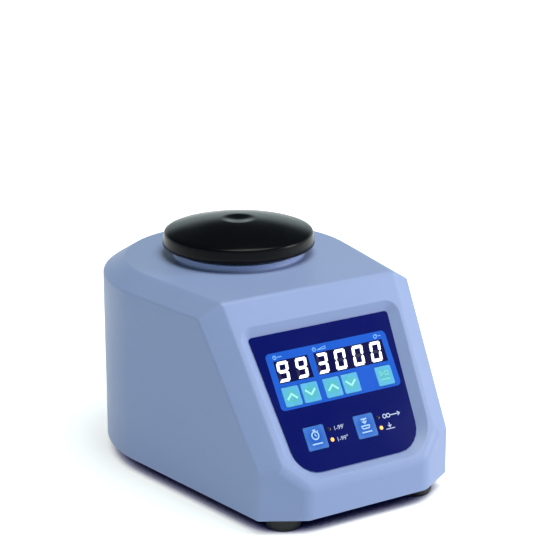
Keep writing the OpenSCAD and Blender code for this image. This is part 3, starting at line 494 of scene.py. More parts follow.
def dark_lens():
    # clear epoxy lens over a dark chip
    return material("Amber lens dark", colour("#1A1226"), 0.2, grain_mm=0.4, grain=0.002, mottle=0.1)


def platform_rubber():
    # compression-moulded nitrile rubber: black with a waxy gloss that shows the studio softly
    return material("Moulded nitrile rubber", settings().platform_colour, 0.2, grain_mm=1.2, grain=0.004,
                    mottle=0.12, rough_mottle=0.04, IOR=1.5, Specular_IOR_Level=0.12)


def foot_rubber():
    # matte black rubber with the dust and scuffs that a foot collects
    return material("Matte rubber", colour("#0C0D11"), 0.62, grain_mm=0.7, grain=0.03, mottle=0.2,
                    rough_mottle=0.1, IOR=1.52)


def black_abs():
    # black moulded plastic with a fine texture
    return material("Moulded black plastic", colour("#1B1D21"), 0.5, grain_mm=0.5, grain=0.012, mottle=0.08,
                    IOR=1.53)


def base_abs():
    # the base is the same plastic as the housing, a shade darker and less polished
    return material("Moulded ABS base", colour("#8592B4"), 0.55, grain_mm=0.6, grain=0.02, mottle=0.03,
                    IOR=1.53)


def zinc_steel():
    # zinc-plated steel: bright, slightly cloudy
    return material("Zinc plated steel", colour("#B9BCC2"), 0.3, grain_mm=1.0, grain=0.006, mottle=0.08,
                    rough_mottle=0.1, Metallic=1.0)


def machined_aluminium():
    # turned and milled aluminium: pale and soft, with fine tool marks
    return material("Machined aluminium", colour("#C6C9CE"), 0.36, grain_mm=0.5, grain=0.01, mottle=0.05,
                    rough_mottle=0.08, Metallic=1.0)


def painted_iron():
    # sand-cast ballast under thick grey paint
    return material("Painted cast iron", colour("#4A4E57"), 0.6, grain_mm=1.4, grain=0.12, mottle=0.1,
                    IOR=1.5)


def varnished_copper():
    # enamelled winding wire: warm and glossy
    return material("Enamelled copper wire", colour("#B8733A"), 0.32, grain_mm=0.8, grain=0.08, mottle=0.15,
                    Metallic=1.0)


def solder_mask():
    # glass fibre board under green solder mask
    return material("Green solder mask", colour("#1D6B3A"), 0.35, grain_mm=1.0, grain=0.01, mottle=0.1,
                    IOR=1.55)


def natural_nylon():
    # natural nylon: off-white, slightly greasy
    return material("Natural nylon", colour("#E6E2D6"), 0.45, grain_mm=0.8, grain=0.01, mottle=0.04,
                    IOR=1.53)


def wire_pvc():
    # soft vinyl insulation
    return material("Vinyl wire insulation", colour("#A83232"), 0.4, grain_mm=1.0, grain=0.01, mottle=0.08,
                    IOR=1.53)


def capacitor_sleeve():
    # shrunk vinyl sleeve of a capacitor
    return material("Blue vinyl sleeve", colour("#2D4F9A"), 0.35, grain_mm=1.0, grain=0.01, mottle=0.1,
                    IOR=1.53)


def housing_core(inset, slope_inset, facets):
    """The housing's form as a block trimmed by planes, in millimetres about the motor axis."""
    r = BACK_R - inset
    obj = block((-r - OVERRUN, -FRONT_REACH + inset, LOW_Z if inset == 0 else LOW_Z - 2),
                (r + OVERRUN, r + OVERRUN, TOP_Z - inset))
    front_x = half_width(-FRONT_REACH) - CORNER_IN
    ridge = Vector((half_width(-TOP_REACH, BEVEL_IN), -TOP_REACH, TOP_Z))
    bend = Vector((half_width(CORNER_BACK - FRONT_REACH), CORNER_BACK - FRONT_REACH, LOW_Z + BEND_H))
    corner_y = CORNER_BACK / 2 - FRONT_REACH
    corner = Vector(((front_x + bend.x) / 2, corner_y, TOP_Z + (corner_y + TOP_REACH) * math.tan(SLOPE)))
    planes = [(Vector((0, -TOP_REACH, TOP_Z)) - SLOPE_NORMAL * (slope_inset - inset), SLOPE_NORMAL)]
    for s in (-1, 1):
        side = Vector((s * math.cos(SIDE_TAPER), -math.sin(SIDE_TAPER), 0))
        planes.append((side * BACK_R, side))
        planes.append((Vector((s * front_x, -FRONT_REACH, 0)),
                       Vector((s * CORNER_BACK, front_x - bend.x, 0)).normalized()))
        flank = (bend - corner).cross(ridge - corner).normalized()
        planes.append((Vector((s * ridge.x, ridge.y, ridge.z)), Vector((s * flank.x, flank.y, flank.z))))
    sweep = math.pi + 2 * SIDE_TAPER
    for i in range(facets + 1):
        a = -SIDE_TAPER + i * sweep / facets
        out = Vector((math.cos(a), math.sin(a), 0))
        if 0 < i < facets:
            planes.append((out * BACK_R, out))
        up = (out * BEVEL_DROP + Vector((0, 0, BEVEL_IN))).normalized()
        planes.append((out * BACK_R + Vector((0, 0, TOP_Z - BEVEL_DROP)), up))
    edit(obj)
    for co, no in planes:
        bpy.ops.mesh.select_all(action="SELECT")
        bpy.ops.mesh.bisect(plane_co=(co - no * inset) * MM, plane_no=no, use_fill=True, clear_outer=True,
                            threshold=0.0001 * MM)
    bpy.ops.object.mode_set(mode="OBJECT")
    close_up(obj)
    return obj


# ---- panel layout, in millimetres across and down the slope ------------------

# Windows: middle across, width
WINDOW_V = 42.7
WINDOW_L = 12.7
WINDOWS = {"time": (-24.0, 21.8), "speed": (13.5, 45.3)}
# Keys: middle across and down the slope, width, length
KEYS = {
    "key_time_up": (-30.1, 56.85, 10.8, 11.0),
    "key_time_down": (-18.0, 56.85, 10.8, 11.0),
    "key_speed_up": (-3.7, 56.85, 10.8, 11.0),
    "key_speed_down": (8.3, 56.85, 10.8, 11.0),
    "key_start_stop": (30.7, 56.85, 10.8, 11.0),
    "key_time_unit": (-23.6, 81.6, 12.9, 13.1),
    "key_mode": (8.7, 81.6, 12.9, 13.1),
}
LOWER_KEYS = ("key_time_unit", "key_mode")
KEY_TOP = -2.65
KEY_LOW = -4.05
KEY_CORNER_R = 0.9
KEY_SOFT = 0.3
STEM_R = 1.5
STEM_LOW = -8.8
STEM_SUNK = 0.2
LAMPS = {"unlit": [(-13.9, 78.7), (18.3, 78.7)], "lit": [(-13.9, 84.6), (18.3, 84.6)]}
LAMP_R = 1.1
BOARD_Z = -11.6
# A lamp's domed lens: share of its radius, height over the film
LENS = [(1.0, -0.05), (0.92, 0.05), (0.7, 0.14), (0.35, 0.2), (0.0, 0.22)]
# Holes in the floor of the recess: clearance round what stands in them, and the depth that they reach
OPENING_GAP = 0.3
OPENING_LOW = -8.0

DIGIT_W = 7.2
DIGIT_H = 11.4
BAR_W = 1.75
BAR_GAP = 0.12
BAR_THICK = 0.12
BAR_SOFT = 0.25
BAR_Z = FILM_Z - 0.02
# How far a bar's side runs past its tip, in bar widths: at an outer corner of the numeral, and elsewhere
BAR_FULL = 0.2
BAR_POINTED = -0.5
LEAN = math.tan(math.radians(8.3))
# Middle of each display's row of numerals, the numerals' spacing and what they show
DISPLAYS = {"time": (-24.7, 11.9, (9, 9)), "speed": (12.4, 11.8, (3, 0, 0, 0))}
# Bars of a numeral: middle in half widths and half heights, and whether the bar stands upright
BARS = {"a": (0, 1, False), "b": (1, 0.5, True), "c": (1, -0.5, True), "d": (0, -1, False),
        "e": (-1, -0.5, True), "f": (-1, 0.5, True), "g": (0, 0, False)}
LIT_BARS = {0: "abcdef", 3: "abgcd", 9: "abcdfg"}

# Printed signs, in millimetres across and up from where each stands: a ring gives its middle, its radius,
# the width of its line and its sides, and a line gives its width and the points that it runs through
KEY_SIGNS = {
    "up": {"lines": [(1.15, (-2.9, -1.3), (0, 1.4), (2.9, -1.3))]},
    "down": {"lines": [(1.15, (-2.9, 1.4), (0, -1.3), (2.9, 1.4))]},
    "stop": {"lines": [(0.6, (-2.6, 2.6), (-0.4, 1.4), (-2.6, 0.2), (-2.6, 2.6)),
                       (0.6, (0.6, 0.3), (2.6, 0.3), (2.6, 2.5), (0.6, 2.5), (0.6, 0.3)),
                       (0.7, (-2.8, -2.0), (2.8, -2.0))]},
    "unit": {"rings": [(0, 1.2, 2.1, 0.75, 40)],
             "lines": [(0.8, (0, 3.6), (0, 4.1)), (0.7, (-0.8, 4.2), (0.8, 4.2)),
                       (0.6, (1.8, 3.1), (2.2, 3.5)), (0.55, (0, 2.2), (0, 1.2), (0.7, 0.8)),
                       (0.75, (-3.0, -3.4), (3.0, -3.4))]},
    "mode": {"lines": [(0.8, (-1.6, 3.9), (1.6, 3.9)), (0.8, (0, 3.9), (0, 1.6)),
                       (0.7, (-1.3, 2.6), (0, 1.3), (1.3, 2.6)), (0.8, (-2.6, 0.1), (2.6, 0.1)),
                       (0.7, (-2.6, 0.1), (-2.0, -1.4), (2.0, -1.4), (2.6, 0.1)),
                       (0.75, (-3.0, -3.4), (3.0, -3.4))]},
}
LOOP_SIGN = {"rings": [(0, 0, 1.05, 0.5, 32), (2.5, 0, 1.05, 0.5, 32)],
             "lines": [(0.5, (3.6, 0), (10.0, 0)), (0.5, (8.8, 1.0), (10.2, 0), (8.8, -1.0))]}
PRESS_SIGN = {"lines": [(0.5, (0, 3.2), (0, 1.1)), (0.5, (-1.0, 1.9), (0, 0.9), (1.0, 1.9)),
                        (0.5, (-2.7, 0), (2.7, 0))]}
CLOCK_SIGN = {"rings": [(0, 0, 1.0, 0.45, 32)],
              "lines": [(0.35, (0, 0.7), (0, 0), (0.5, -0.2)), (0.45, (1.8, 0), (4.5, 0))]}
DIAL_SIGN = {"rings": [(0, 0, 1.0, 0.45, 32)],
             "lines": [(0.35, (0, 0), (0.6, 0.6)), (0.4, (1.8, -0.6), (7.4, -0.6), (7.4, 0.8), (1.8, -0.6))]}
TURN_SIGN = {"rings": [(0, 0, 0.95, 0.45, 32)],
             "lines": [(0.4, (0.8, 1.2), (1.5, 0.4)), (0.45, (2.0, 0), (3.6, 0))]}
# Places of the signs across and down the slope
MODE_SIGNS = [(22.4, 78.8, LOOP_SIGN), (23.9, 86.1, PRESS_SIGN)]
DISPLAY_SIGNS = [(-33.4, 34.3, CLOCK_SIGN), (-8.0, 34.3, DIAL_SIGN), (32.6, 34.3, TURN_SIGN)]
UNIT_SIGNS = [(-11.3, 80.0, "1-99′"), (-11.3, 86.2, "1-99″")]
UNIT_SIZE = 3.375
# The low and the high side of printed ink
INK_ON_KEYS = (KEY_TOP - 0.03, KEY_TOP + 0.02)
INK_ON_FILM = (FILM_Z - 0.02, FILM_Z + 0.03)

# Rubber platform, in millimetres, over the disc that it fits round
DISC_R = 36.04
DISC_TOP = 126.62
RIM_Z = 122.2
DOME_R = 43.2
DOME_Z = 130.2
DOME_H = 7.3
DIMPLE_R = 10.6
# Outside of the rim: distance out from the dome's radius, height over the foot of the rim
RIM = [(0.2, 0.0), (0.7, 0.15), (1.0, 0.5), (1.1, 1.0), (0.825, 3.0), (0.44, 5.4), (0.2, 6.9), (-0.05, 7.45),
       (-0.5, 7.9), (-1.2, 8.28)]
DOME_STEPS = 26
DIMPLE_STEPS = 10

# Feet, in millimetres: up the bore, down the outside and up the screw recess as (radius, height)
FOOT_BORE_R = 2.3
FOOT = [(FOOT_BORE_R, 3.0), (FOOT_BORE_R, LOW_Z), (10.0, LOW_Z), (9.95, 4.5), (9.7, 2.2), (9.3, 0.9),
        (8.6, 0.2), (7.9, 0.0), (4.6, 0.0), (4.2, 0.3), (4.2, 3.0)]
# Places of the feet: out from the middle, behind the motor axis
FOOT_PLACES = [(43.4, 18.2 - FRONT_REACH), (46.0, 50.0)]

# Carriage springs round the guide posts, in millimetres: places of the lowest and highest wire middle
POST_AT = 36.0
SPRING_MID_R = 4.9
SPRING_WIRE_R = 0.7
SPRING_LOW = 62.75
SPRING_HIGH = 83.25
SPRING_TURNS = 5
SPRING_STEPS = 28

# Rounding of the housing's edges by the two surfaces that meet, as a share of the widest
EDGE_SHARES = {frozenset(pair): share for pair, share in (
    (("slope", "front"), 0.8), (("slope", "corner"), 0.8), (("corner", "front"), 1.0),
    (("slope", "top"), 0.5), (("slope", "band"), 0.22), (("band", "wall"), 0.3), (("band", "corner"), 0.38),
    (("band", "bevel"), 0.3), (("wall", "corner"), 0.2), (("wall", "bottom"), 0.22),
    (("front", "bottom"), 0.22), (("corner", "bottom"), 0.22))}
OTHER_SHARE = 0.25
# Edges that turn less than this stay as they are, so the round back keeps its flats
SOFTEN_FROM = math.radians(11)

# Camera and soft boxes, in metres
CAMERA_AIM = (0, -0.01138, 0.11357)
CAMERA_REACH = 1.0806
CAMERA_TURN = math.radians(-32.23)
CAMERA_TILT = math.radians(17.19)
CAMERA_LENS = 125.22
LIGHT_AIM = (0, 0, 0.08)
# Each soft box's place, side, power in watts and tint
SOFTBOXES = {
    "key_softbox": ((1.56, -1.06, 0.76), 0.7, 16, (1.0, 0.96, 1.0)),
    "top_softbox": ((0.15, -0.3, 1.95), 1.3, 29, (0.95, 1.0, 0.88)),
}


class VortexMixerSettings(bpy.types.PropertyGroup):
    """Sizes and colours that a user would change."""
    housing_colour: bpy.props.FloatVectorProperty(
        name="Housing", description="Colour of the moulded housing", subtype="COLOR", size=4,
        default=colour("#9BADE0"))
    film_colour: bpy.props.FloatVectorProperty(
        name="Film", description="Ink under the keypad film", subtype="COLOR", size=4,
        default=colour("#08146A"))
    field_colour: bpy.props.FloatVectorProperty(
        name="Display field", description="Ink round the displays", subtype="COLOR", size=4,
        default=colour("#2563DE"))
    key_colour: bpy.props.FloatVectorProperty(
        name="Keys", description="Ink in the middle of the arrow and start keys", subtype="COLOR", size=4,
        default=colour("#5AC3D2"))
    key_edge_colour: bpy.props.FloatVectorProperty(
        name="Key edges", description="Ink at the edge of the arrow and start keys", subtype="COLOR", size=4,
        default=colour("#5FBDF8"))
    mode_colour: bpy.props.FloatVectorProperty(
        name="Mode keys", description="Ink in the middle of the two lower keys", subtype="COLOR", size=4,
        default=colour("#1E62D0"))
    mode_edge_colour: bpy.props.FloatVectorProperty(
        name="Mode key edges", description="Ink at the edge of the two lower keys", subtype="COLOR", size=4,
        default=colour("#3F7CDC"))
    platform_colour: bpy.props.FloatVectorProperty(
        name="Platform", description="Colour of the rubber platform", subtype="COLOR", size=4,
        default=colour("#0B0D12"))
    edge_softness: bpy.props.FloatProperty(
        name="Edge softness", description="Width of the rounding on the housing's main edges", unit="LENGTH",
        default=4 * MM, min=1 * MM, max=5 * MM)
    dimple_depth: bpy.props.FloatProperty(
        name="Dimple depth", description="Depth of the tube dimple in the platform", unit="LENGTH",
        default=1.4 * MM, min=0.5 * MM, max=2 * MM)
    floor_size: bpy.props.FloatProperty(
        name="Floor size", description="Side of the floor", unit="LENGTH", default=14.0, min=4.0, max=20.0)


class VORTEX_OT_housing(bpy.types.Operator):
    """Model the moulded upper housing with its recess, collar, cavity and rear flat"""
    bl_idname = "vortex_mixer.housing"
    bl_label = "Housing"

    def execute(self, context):
        obj = housing_core(0.0, 0.0, BACK_FACETS)
        self.soften(obj, context.scene.vortex_mixer.edge_softness)
        cavity = housing_core(WALL, FLOOR_DEPTH + FLOOR_WALL, CAVITY_FACETS)
        for form in (obj, cavity):
            place(form, Matrix.Translation((0, AXIS_Y * MM, 0)))
        cut(cavity, self.flat_block(FLAT_PAD))
        cut(obj, cavity)
        cut(obj, turned([(r, TOP_Z + up) for r, up in COLLAR], (0, AXIS_Y, 0), segments=96), "UNION")
        bore = [(COLLAR_BORE_R, TOP_Z - OVERRUN), (COLLAR_BORE_R, TOP_Z + OVERRUN)]
        cut(obj, turned(bore, (0, AXIS_Y, 0), segments=96))
        for tool in [self.recess(), self.openings()] + self.rear_cuts():
            cut(obj, tool)
        close_up(obj)
        smooth(obj, angle=30)
        hand_over(obj, "moulded_housing", housing_plastic(), "housing", "housing_plastic", "upper_housing")
        return {"FINISHED"}

    def soften(self, obj, width):
        """Round the edges: widest round the front, crisp along the side bevels."""
        mesh = obj.data
        weight = mesh.attributes.new("bevel_weight_edge", "FLOAT", "EDGE")
        faces = {}
        for f in mesh.polygons:
            for key in f.edge_keys:
                faces.setdefault(key, []).append(f.normal)
        for e in mesh.edges:
            one, two = faces[e.key]
            if one.angle(two) >= SOFTEN_FROM:
                kinds = frozenset((self.kind_of(one), self.kind_of(two)))
                weight.data[e.index].value = EDGE_SHARES.get(kinds, OTHER_SHARE)
        modify(obj, "BEVEL", width=width, segments=5, limit_method="WEIGHT", use_clamp_overlap=False,
               miter_outer="MITER_ARC")

    def kind_of(self, n):
        """Which surface of the housing a normal belongs to."""
        if n.dot(SLOPE_NORMAL) > 0.9999:
            return "slope"
        if n.z > 0.999:
            return "top"
        if n.z < -0.999:
            return "bottom"
        if abs(n.z) < 0.01:
            return "front" if n.y < -0.99 else "corner" if n.y < -0.35 else "wall"
        return "band" if n.z < 0.8 else "bevel"

    def recess(self):
        """The recess as a tool: insets step down from the face to the floor along the side wall."""
        out, height = RECESS_WALL[0]
        radii = (FILM_R_LOW + out, FILM_R_LOW + out, FILM_R_TOP + out, FILM_R_TOP + out)
        above, below = out * TOP_SHARE, out * LOW_SHARE
        top, low = FILM_TOP - above, FILM_TOP + FILM_LEN + below
        tool = rounded_slab(film_corners(out, above, below), radii, height - FLOOR_DEPTH, RECESS_TOP,
                            segments=14)
        pick(tool, "FACE", lambda normal: normal.z < -0.9)
        for nout, nheight in RECESS_WALL[1:]:
            step = out - nout
            bpy.ops.mesh.inset(thickness=step * MM, depth=(height - nheight) * MM, use_even_offset=True)
            # an inset comes in by as much on all sides, so the floor is drawn out again up and down the slope
            up, down = step * (1 - TOP_SHARE), step * (1 - LOW_SHARE)
            length = low - top - 2 * step
            still = top + step + length * up / (up + down)
            bpy.ops.transform.resize(value=(1, 1 + (up + down) / length, 1),
                                     center_override=(0, -still * MM, 0))
            top, low = top + step - up, low - step + down
            out, height = nout, nheight
        bpy.ops.object.mode_set(mode="OBJECT")
        place(tool, ON_SLOPE)
        return tool

    def openings(self):
        """Through holes in the floor of the recess for keys, windows and lamps."""
        low, top = OPENING_LOW, OPENING_GAP - FLOOR_DEPTH
        tools = []
        windows = [(x, WINDOW_V, w, WINDOW_L) for x, w in WINDOWS.values()]
        for x, v, w, l in [*KEYS.values()] + windows:
            across, along = w / 2 + OPENING_GAP, l / 2 + OPENING_GAP
            tools.append(block((x - across, -v - along, low), (x + across, -v + along, top)))
        r = LAMP_R + OPENING_GAP
        for x, v in LAMPS["unlit"] + LAMPS["lit"]:
            tools.append(turned([(r, low), (r, top)], (x, -v, 0), segments=24))
        tool = joined(tools)
        place(tool, ON_SLOPE)
        return tool

    def flat_block(self, pad=0.0):
        """What the rear flat takes off the round back, or that grown by a pad on its inner sides."""
        back, half = AXIS_Y + BACK_R, FLAT_HALF + pad
        return block((-half, back - FLAT_DEPTH - pad, FLAT_LOW - pad),
                     (half, back + OVERRUN + pad, FLAT_TOP + pad))

    def rear_cuts(self):
        """The rear flat, and the holes for the inlet and the switch."""
        flat = self.flat_block()
        modify(flat, "BEVEL", width=FLAT_SOFT * MM, segments=3, limit_method="ANGLE")
        face, middle = AXIS_Y + BACK_R - FLAT_DEPTH, (FLAT_LOW + FLAT_TOP) / 2
        hole = turned([(INLET_R, -HOLE_REACH), (INLET_R, HOLE_REACH)], (0, 0, 0), segments=48)
        place(hole, Matrix.Translation(Vector((INLET_X, face, middle)) * MM)
              @ Matrix.Rotation(math.pi / 2, 4, "X"))
        slot = block((SWITCH_X - SWITCH_HALF_W, face - HOLE_REACH, middle - SWITCH_HALF_H),
                     (SWITCH_X + SWITCH_HALF_W, face + HOLE_REACH, middle + SWITCH_HALF_H))
        return [flat, hole, slot]


class VORTEX_OT_display(bpy.types.Operator):
    """Model the lit and unlit bars of the two numeric displays"""
    bl_idname = "vortex_mixer.display"
    bl_label = "Displays"

    def execute(self, context):
        bars = {letter: self.bar(*BARS[letter]) for letter in BARS}
        for name, (middle, pitch, digits) in DISPLAYS.items():
            lit, dark = [], []
            for i, digit in enumerate(digits):
                x = middle + (i - (len(digits) - 1) / 2) * pitch
                for letter, (bx, by, _) in BARS.items():
                    copy = copy_of(bars[letter], self.place_of(x, bx, by))
                    (lit if letter in LIT_BARS[digit] else dark).append(copy)
            for kind, copies, finish in (("lit", lit, lit_segment()), ("dark", dark, dark_segment())):
                obj = joined(copies)
                place(obj, ON_SLOPE)
                if kind == "lit":
                    hand_over(obj, name + "_numerals", finish, "housing", "white_segments", name + "_digits")
                else:
                    hand_over(obj, name + "_dark_bars", finish, "housing", "window_plastic")
        for obj in bars.values():
            bpy.data.objects.remove(obj)
        return {"FINISHED"}

    def bar(self, bx, by, upright):
        """A bar of a numeral: soft edges, fuller where two meet at an outer corner, else pointed."""
        length = (DIGIT_H - BAR_W) / 2 if upright else DIGIT_W - BAR_W
        half = (length - BAR_GAP) / 2
        start()
        bpy.ops.mesh.primitive_circle_add(vertices=6, radius=MM, fill_type="NGON", location=(0, 0, 0))
        obj = bpy.context.object
        for v in obj.data.vertices:
            tip = abs(v.co.y) > 0.9 * MM
            side = math.copysign(1, v.co.y)
            x = 0.0 if tip else math.copysign(BAR_W / 2, v.co.x)
            outer = x * bx > 0 and side * by > 0 if upright else x * by > 0
            y = side * (half if tip else half + (BAR_FULL if outer else BAR_POINTED) * BAR_W)
            v.co = Vector((x, y, 0) if upright else (y, x, 0)) * MM
        edit(obj)
        bpy.ops.mesh.extrude_region_move(TRANSFORM_OT_translate={"value": (0, 0, BAR_THICK * MM)})
        bpy.ops.object.mode_set(mode="OBJECT")
        close_up(obj)
        modify(obj, "BEVEL", width=BAR_SOFT * MM, segments=2, limit_method="ANGLE",
               angle_limit=math.radians(40))
        return obj

    def place_of(self, x, bx, by):
        """Where one bar of a numeral goes, leaning with the numeral."""
        dx = bx * (DIGIT_W - BAR_W) / 2
        dy = by * (DIGIT_H - BAR_W) / 2
        shear = Matrix.Identity(4)
        shear[0][1] = LEAN
        return Matrix.Translation((x, -WINDOW_V, BAR_Z)) @ shear @ Matrix.Translation((dx, dy, 0))


class VORTEX_OT_keys(bpy.types.Operator):
    """Model the seven keys with soft edges and their printed signs"""
    bl_idname = "vortex_mixer.keys"
    bl_label = "Keys"

    def execute(self, context):
        # the last number of each ink is the strength of its painted glow
        ink = pale_ink("Printed cyan ink", "#A9F0F4", 0.08)
        faint_ink = pale_ink("Printed faint cyan ink", "#7CDCEA", 0.0)
        blue_ink = pale_ink("Printed light blue ink", "#A9D2FF", 0.1)
        for name, (x, v, w, l) in KEYS.items():
            lower = name in LOWER_KEYS
            obj = rounded_slab(box_corners(x, v, w, l), (KEY_CORNER_R,) * 4, KEY_LOW, KEY_TOP, segments=5)
            modify(obj, "BEVEL", width=KEY_SOFT * MM, segments=3, limit_method="ANGLE",
                   angle_limit=math.radians(50))
            stem = turned([(STEM_R, STEM_LOW), (STEM_R, KEY_LOW + STEM_SUNK)], (x, -v, 0), segments=32)
            cut(obj, stem, "UNION")
            close_up(obj)
            self.map_cap(obj, x, v, w, l)
            place(obj, ON_SLOPE)
            smooth(obj, angle=40)
            finish = mode_film() if lower else key_film()
            hand_over(obj, name + "_cap", finish, name + "_body", "blue_key" if lower else "cyan_key", name)
            marks = joined(sign(x, v, INK_ON_KEYS, **KEY_SIGNS[name.split("_")[-1]]))
            place(marks, ON_SLOPE)
            print_ink = blue_ink if lower else faint_ink if name == "key_start_stop" else ink
            hand_over(marks, name + "_sign", print_ink, name + "_body", "white_segments")
        return {"FINISHED"}

    def map_cap(self, obj, x, v, w, l):
        """A UV map that runs from 0 to 1 across the key and up it."""
        uv = obj.data.uv_layers.new(name="cap")
        for corner in obj.data.loops:
            at = obj.data.vertices[corner.vertex_index].co / MM
            uv.data[corner.index].uv = ((at.x - x) / w + 0.5, (at.y + v) / l + 0.5)


class VORTEX_OT_lamps(bpy.types.Operator):
    """Model the four indicator lamps with their domed lenses"""
    bl_idname = "vortex_mixer.lamps"
    bl_label = "Indicator lamps"

    def execute(self, context):
        lens = [(LAMP_R, BOARD_Z)] + [(share * LAMP_R, FILM_Z + up) for share, up in LENS]
        for kind, finish, slot in (("lit", lit_lens(), "lit_lamp"), ("unlit", dark_lens(), "dark_lamp")):
            obj = joined([turned(lens, (x, -v, 0), segments=32) for x, v in LAMPS[kind]])
            place(obj, ON_SLOPE)
            smooth(obj, angle=50)
            hand_over(obj, "lamps_" + kind + "_lens", finish, "housing", slot, "lamps_" + kind)
        return {"FINISHED"}


class VORTEX_OT_platform(bpy.types.Operator):
    """Turn the domed rubber platform with its rim and tube dimple"""
    bl_idname = "vortex_mixer.platform"
    bl_label = "Rubber platform"

    def execute(self, context):
        depth = context.scene.vortex_mixer.dimple_depth / MM

        def dome(r):
            return DOME_Z + DOME_H * (1 - (r / DOME_R) ** 2)
        profile = [(0, DISC_TOP), (DISC_R, DISC_TOP), (DISC_R, RIM_Z)]
        profile += [(DOME_R + out, RIM_Z + up) for out, up in RIM]
        edge = DOME_R + RIM[-1][0]
        for i in range(1, DOME_STEPS + 1):
            r = edge + (DIMPLE_R - edge) * i / DOME_STEPS
            profile.append((r, dome(r)))
        for i in range(1, DIMPLE_STEPS + 1):
            share = 1 - i / DIMPLE_STEPS
            r = DIMPLE_R * share
            profile.append((r, dome(r) - depth * (1 - share ** 2) ** 2))
        obj = turned(profile, (CRANK_X, CRANK_Y, 0), segments=128)
        smooth(obj, angle=50, weighted=False)
        hand_over(obj, "platform_moulding", platform_rubber(), "shaker_head", "black_rubber",
                  "rubber_platform")
        return {"FINISHED"}


class VORTEX_OT_feet(bpy.types.Operator):
    """Turn one foot and copy it to the four corners"""
    bl_idname = "vortex_mixer.feet"
    bl_label = "Feet"

    def execute(self, context):
        foot = turned(FOOT, (0, 0, 0), segments=64)
        # the turned solid closes with a web across the bore, which this opens
        cut(foot, turned([(FOOT_BORE_R, 2.0), (FOOT_BORE_R, LOW_Z + 1)], (0, 0, 0), segments=48))
        feet = [copy_of(foot, Matrix.Translation((s * x, AXIS_Y + y, 0)))
                for s in (-1, 1) for x, y in FOOT_PLACES]
        bpy.data.objects.remove(foot)
        obj = joined(feet)
        close_up(obj)
        smooth(obj, angle=40)
        hand_over(obj, "moulded_feet", foot_rubber(), "housing", "black_rubber", "rubber_feet")
        return {"FINISHED"}


class VORTEX_OT_springs(bpy.types.Operator):
    """Wind one carriage spring and copy it to the four posts, on a mesh of its own"""
    bl_idname = "vortex_mixer.springs"
    bl_label = "Carriage springs"

    def execute(self, context):
        start()
        bpy.ops.mesh.primitive_circle_add(vertices=10, radius=SPRING_WIRE_R * MM,
                                          rotation=(math.pi / 2, 0, 0),
                                          location=(SPRING_MID_R * MM, 0, SPRING_LOW * MM))
        spring = bpy.context.object
        place(spring)
        modify(spring, "SCREW", screw_offset=(SPRING_HIGH - SPRING_LOW) / SPRING_TURNS * MM,
               iterations=SPRING_TURNS, steps=SPRING_STEPS, render_steps=SPRING_STEPS)
        edit(spring)
        bpy.ops.mesh.fill_holes(sides=0)
        bpy.ops.object.mode_set(mode="OBJECT")
        springs = [copy_of(spring, Matrix.Translation((sx * POST_AT, AXIS_Y + sy * POST_AT, 0)))
                   for sx in (-1, 1) for sy in (-1, 1)]
        bpy.data.objects.remove(spring)
        obj = joined(springs)
        close_up(obj)
        smooth(obj, angle=50)
        hand_over(obj, "coil_springs", zinc_steel(), "carriage", "steel", "carriage_springs")
        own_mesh(obj)
        return {"FINISHED"}


class VORTEX_OT_signs(bpy.types.Operator):
    """Print the small plain signs beside the displays and lamps"""
    bl_idname = "vortex_mixer.signs"
    bl_label = "Printed signs"

    def execute(self, context):
        # the last number of each ink is the strength of its painted glow
        pale = pale_ink("Printed pale ink", "#C9D4F4", 0.06)
        sky = pale_ink("Printed sky ink", "#7CBEFF", 0.05)
        units = [self.words(text, x, v) for x, v, text in UNIT_SIGNS]
        modes = [piece for x, v, marks in MODE_SIGNS for piece in sign(x, v, INK_ON_FILM, **marks)]
        displays = [piece for x, v, marks in DISPLAY_SIGNS for piece in sign(x, v, INK_ON_FILM, **marks)]
        for name, ink, pieces in (("unit_signs", pale, units), ("mode_signs", pale, modes),
                                  ("display_signs", sky, displays)):
            obj = joined(pieces)
            place(obj, ON_SLOPE)
            hand_over(obj, name, ink, "housing", "white_segments")
        return {"FINISHED"}

    def words(self, text, x, v):
        """Plain numbers as a mesh."""
        start()
        bpy.ops.object.text_add(location=(0, 0, 0))
        obj = bpy.context.object
        obj.data.body = text
        obj.data.size = UNIT_SIZE * MM
        obj.data.extrude = 0.02 * MM
        obj.data.resolution_u = 3
        bpy.ops.object.convert(target="MESH")
        place(obj, Matrix.Translation(Vector((x, -v, FILM_Z + 0.005)) * MM))
        close_up(obj)
        return obj


class VORTEX_OT_finishes(bpy.types.Operator):
    """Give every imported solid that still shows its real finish"""
    bl_idname = "vortex_mixer.finishes"
    bl_label = "Finishes"

    def execute(self, context):
        finishes = {
            "housing_plastic": housing_plastic, "base_plastic": base_abs, "black_rubber": foot_rubber,
            "navy_film": film_navy, "blue_film": film_blue, "window_plastic": window_acrylic,
            "white_segments": lit_segment, "cyan_key": key_film, "blue_key": mode_film, "lit_lamp": lit_lens,
            "dark_lamp": dark_lens, "circuit_board": solder_mask, "black_moulding": black_abs,
            "steel": zinc_steel, "cast_iron": painted_iron, "aluminium": machined_aluminium,
            "copper_winding": varnished_copper, "nylon": natural_nylon, "wire_insulation": wire_pvc,
            "blue_capacitor": capacitor_sleeve,
        }
        slots = {s["node"]: s["material_slot"] for s in frame["record"]["subparts"]}
        for name, obj in frame["nodes"].items():
            finish = finishes[slots[name]]()
            obj.data.materials.clear()
            obj.data.materials.append(finish)
        return {"FINISHED"}


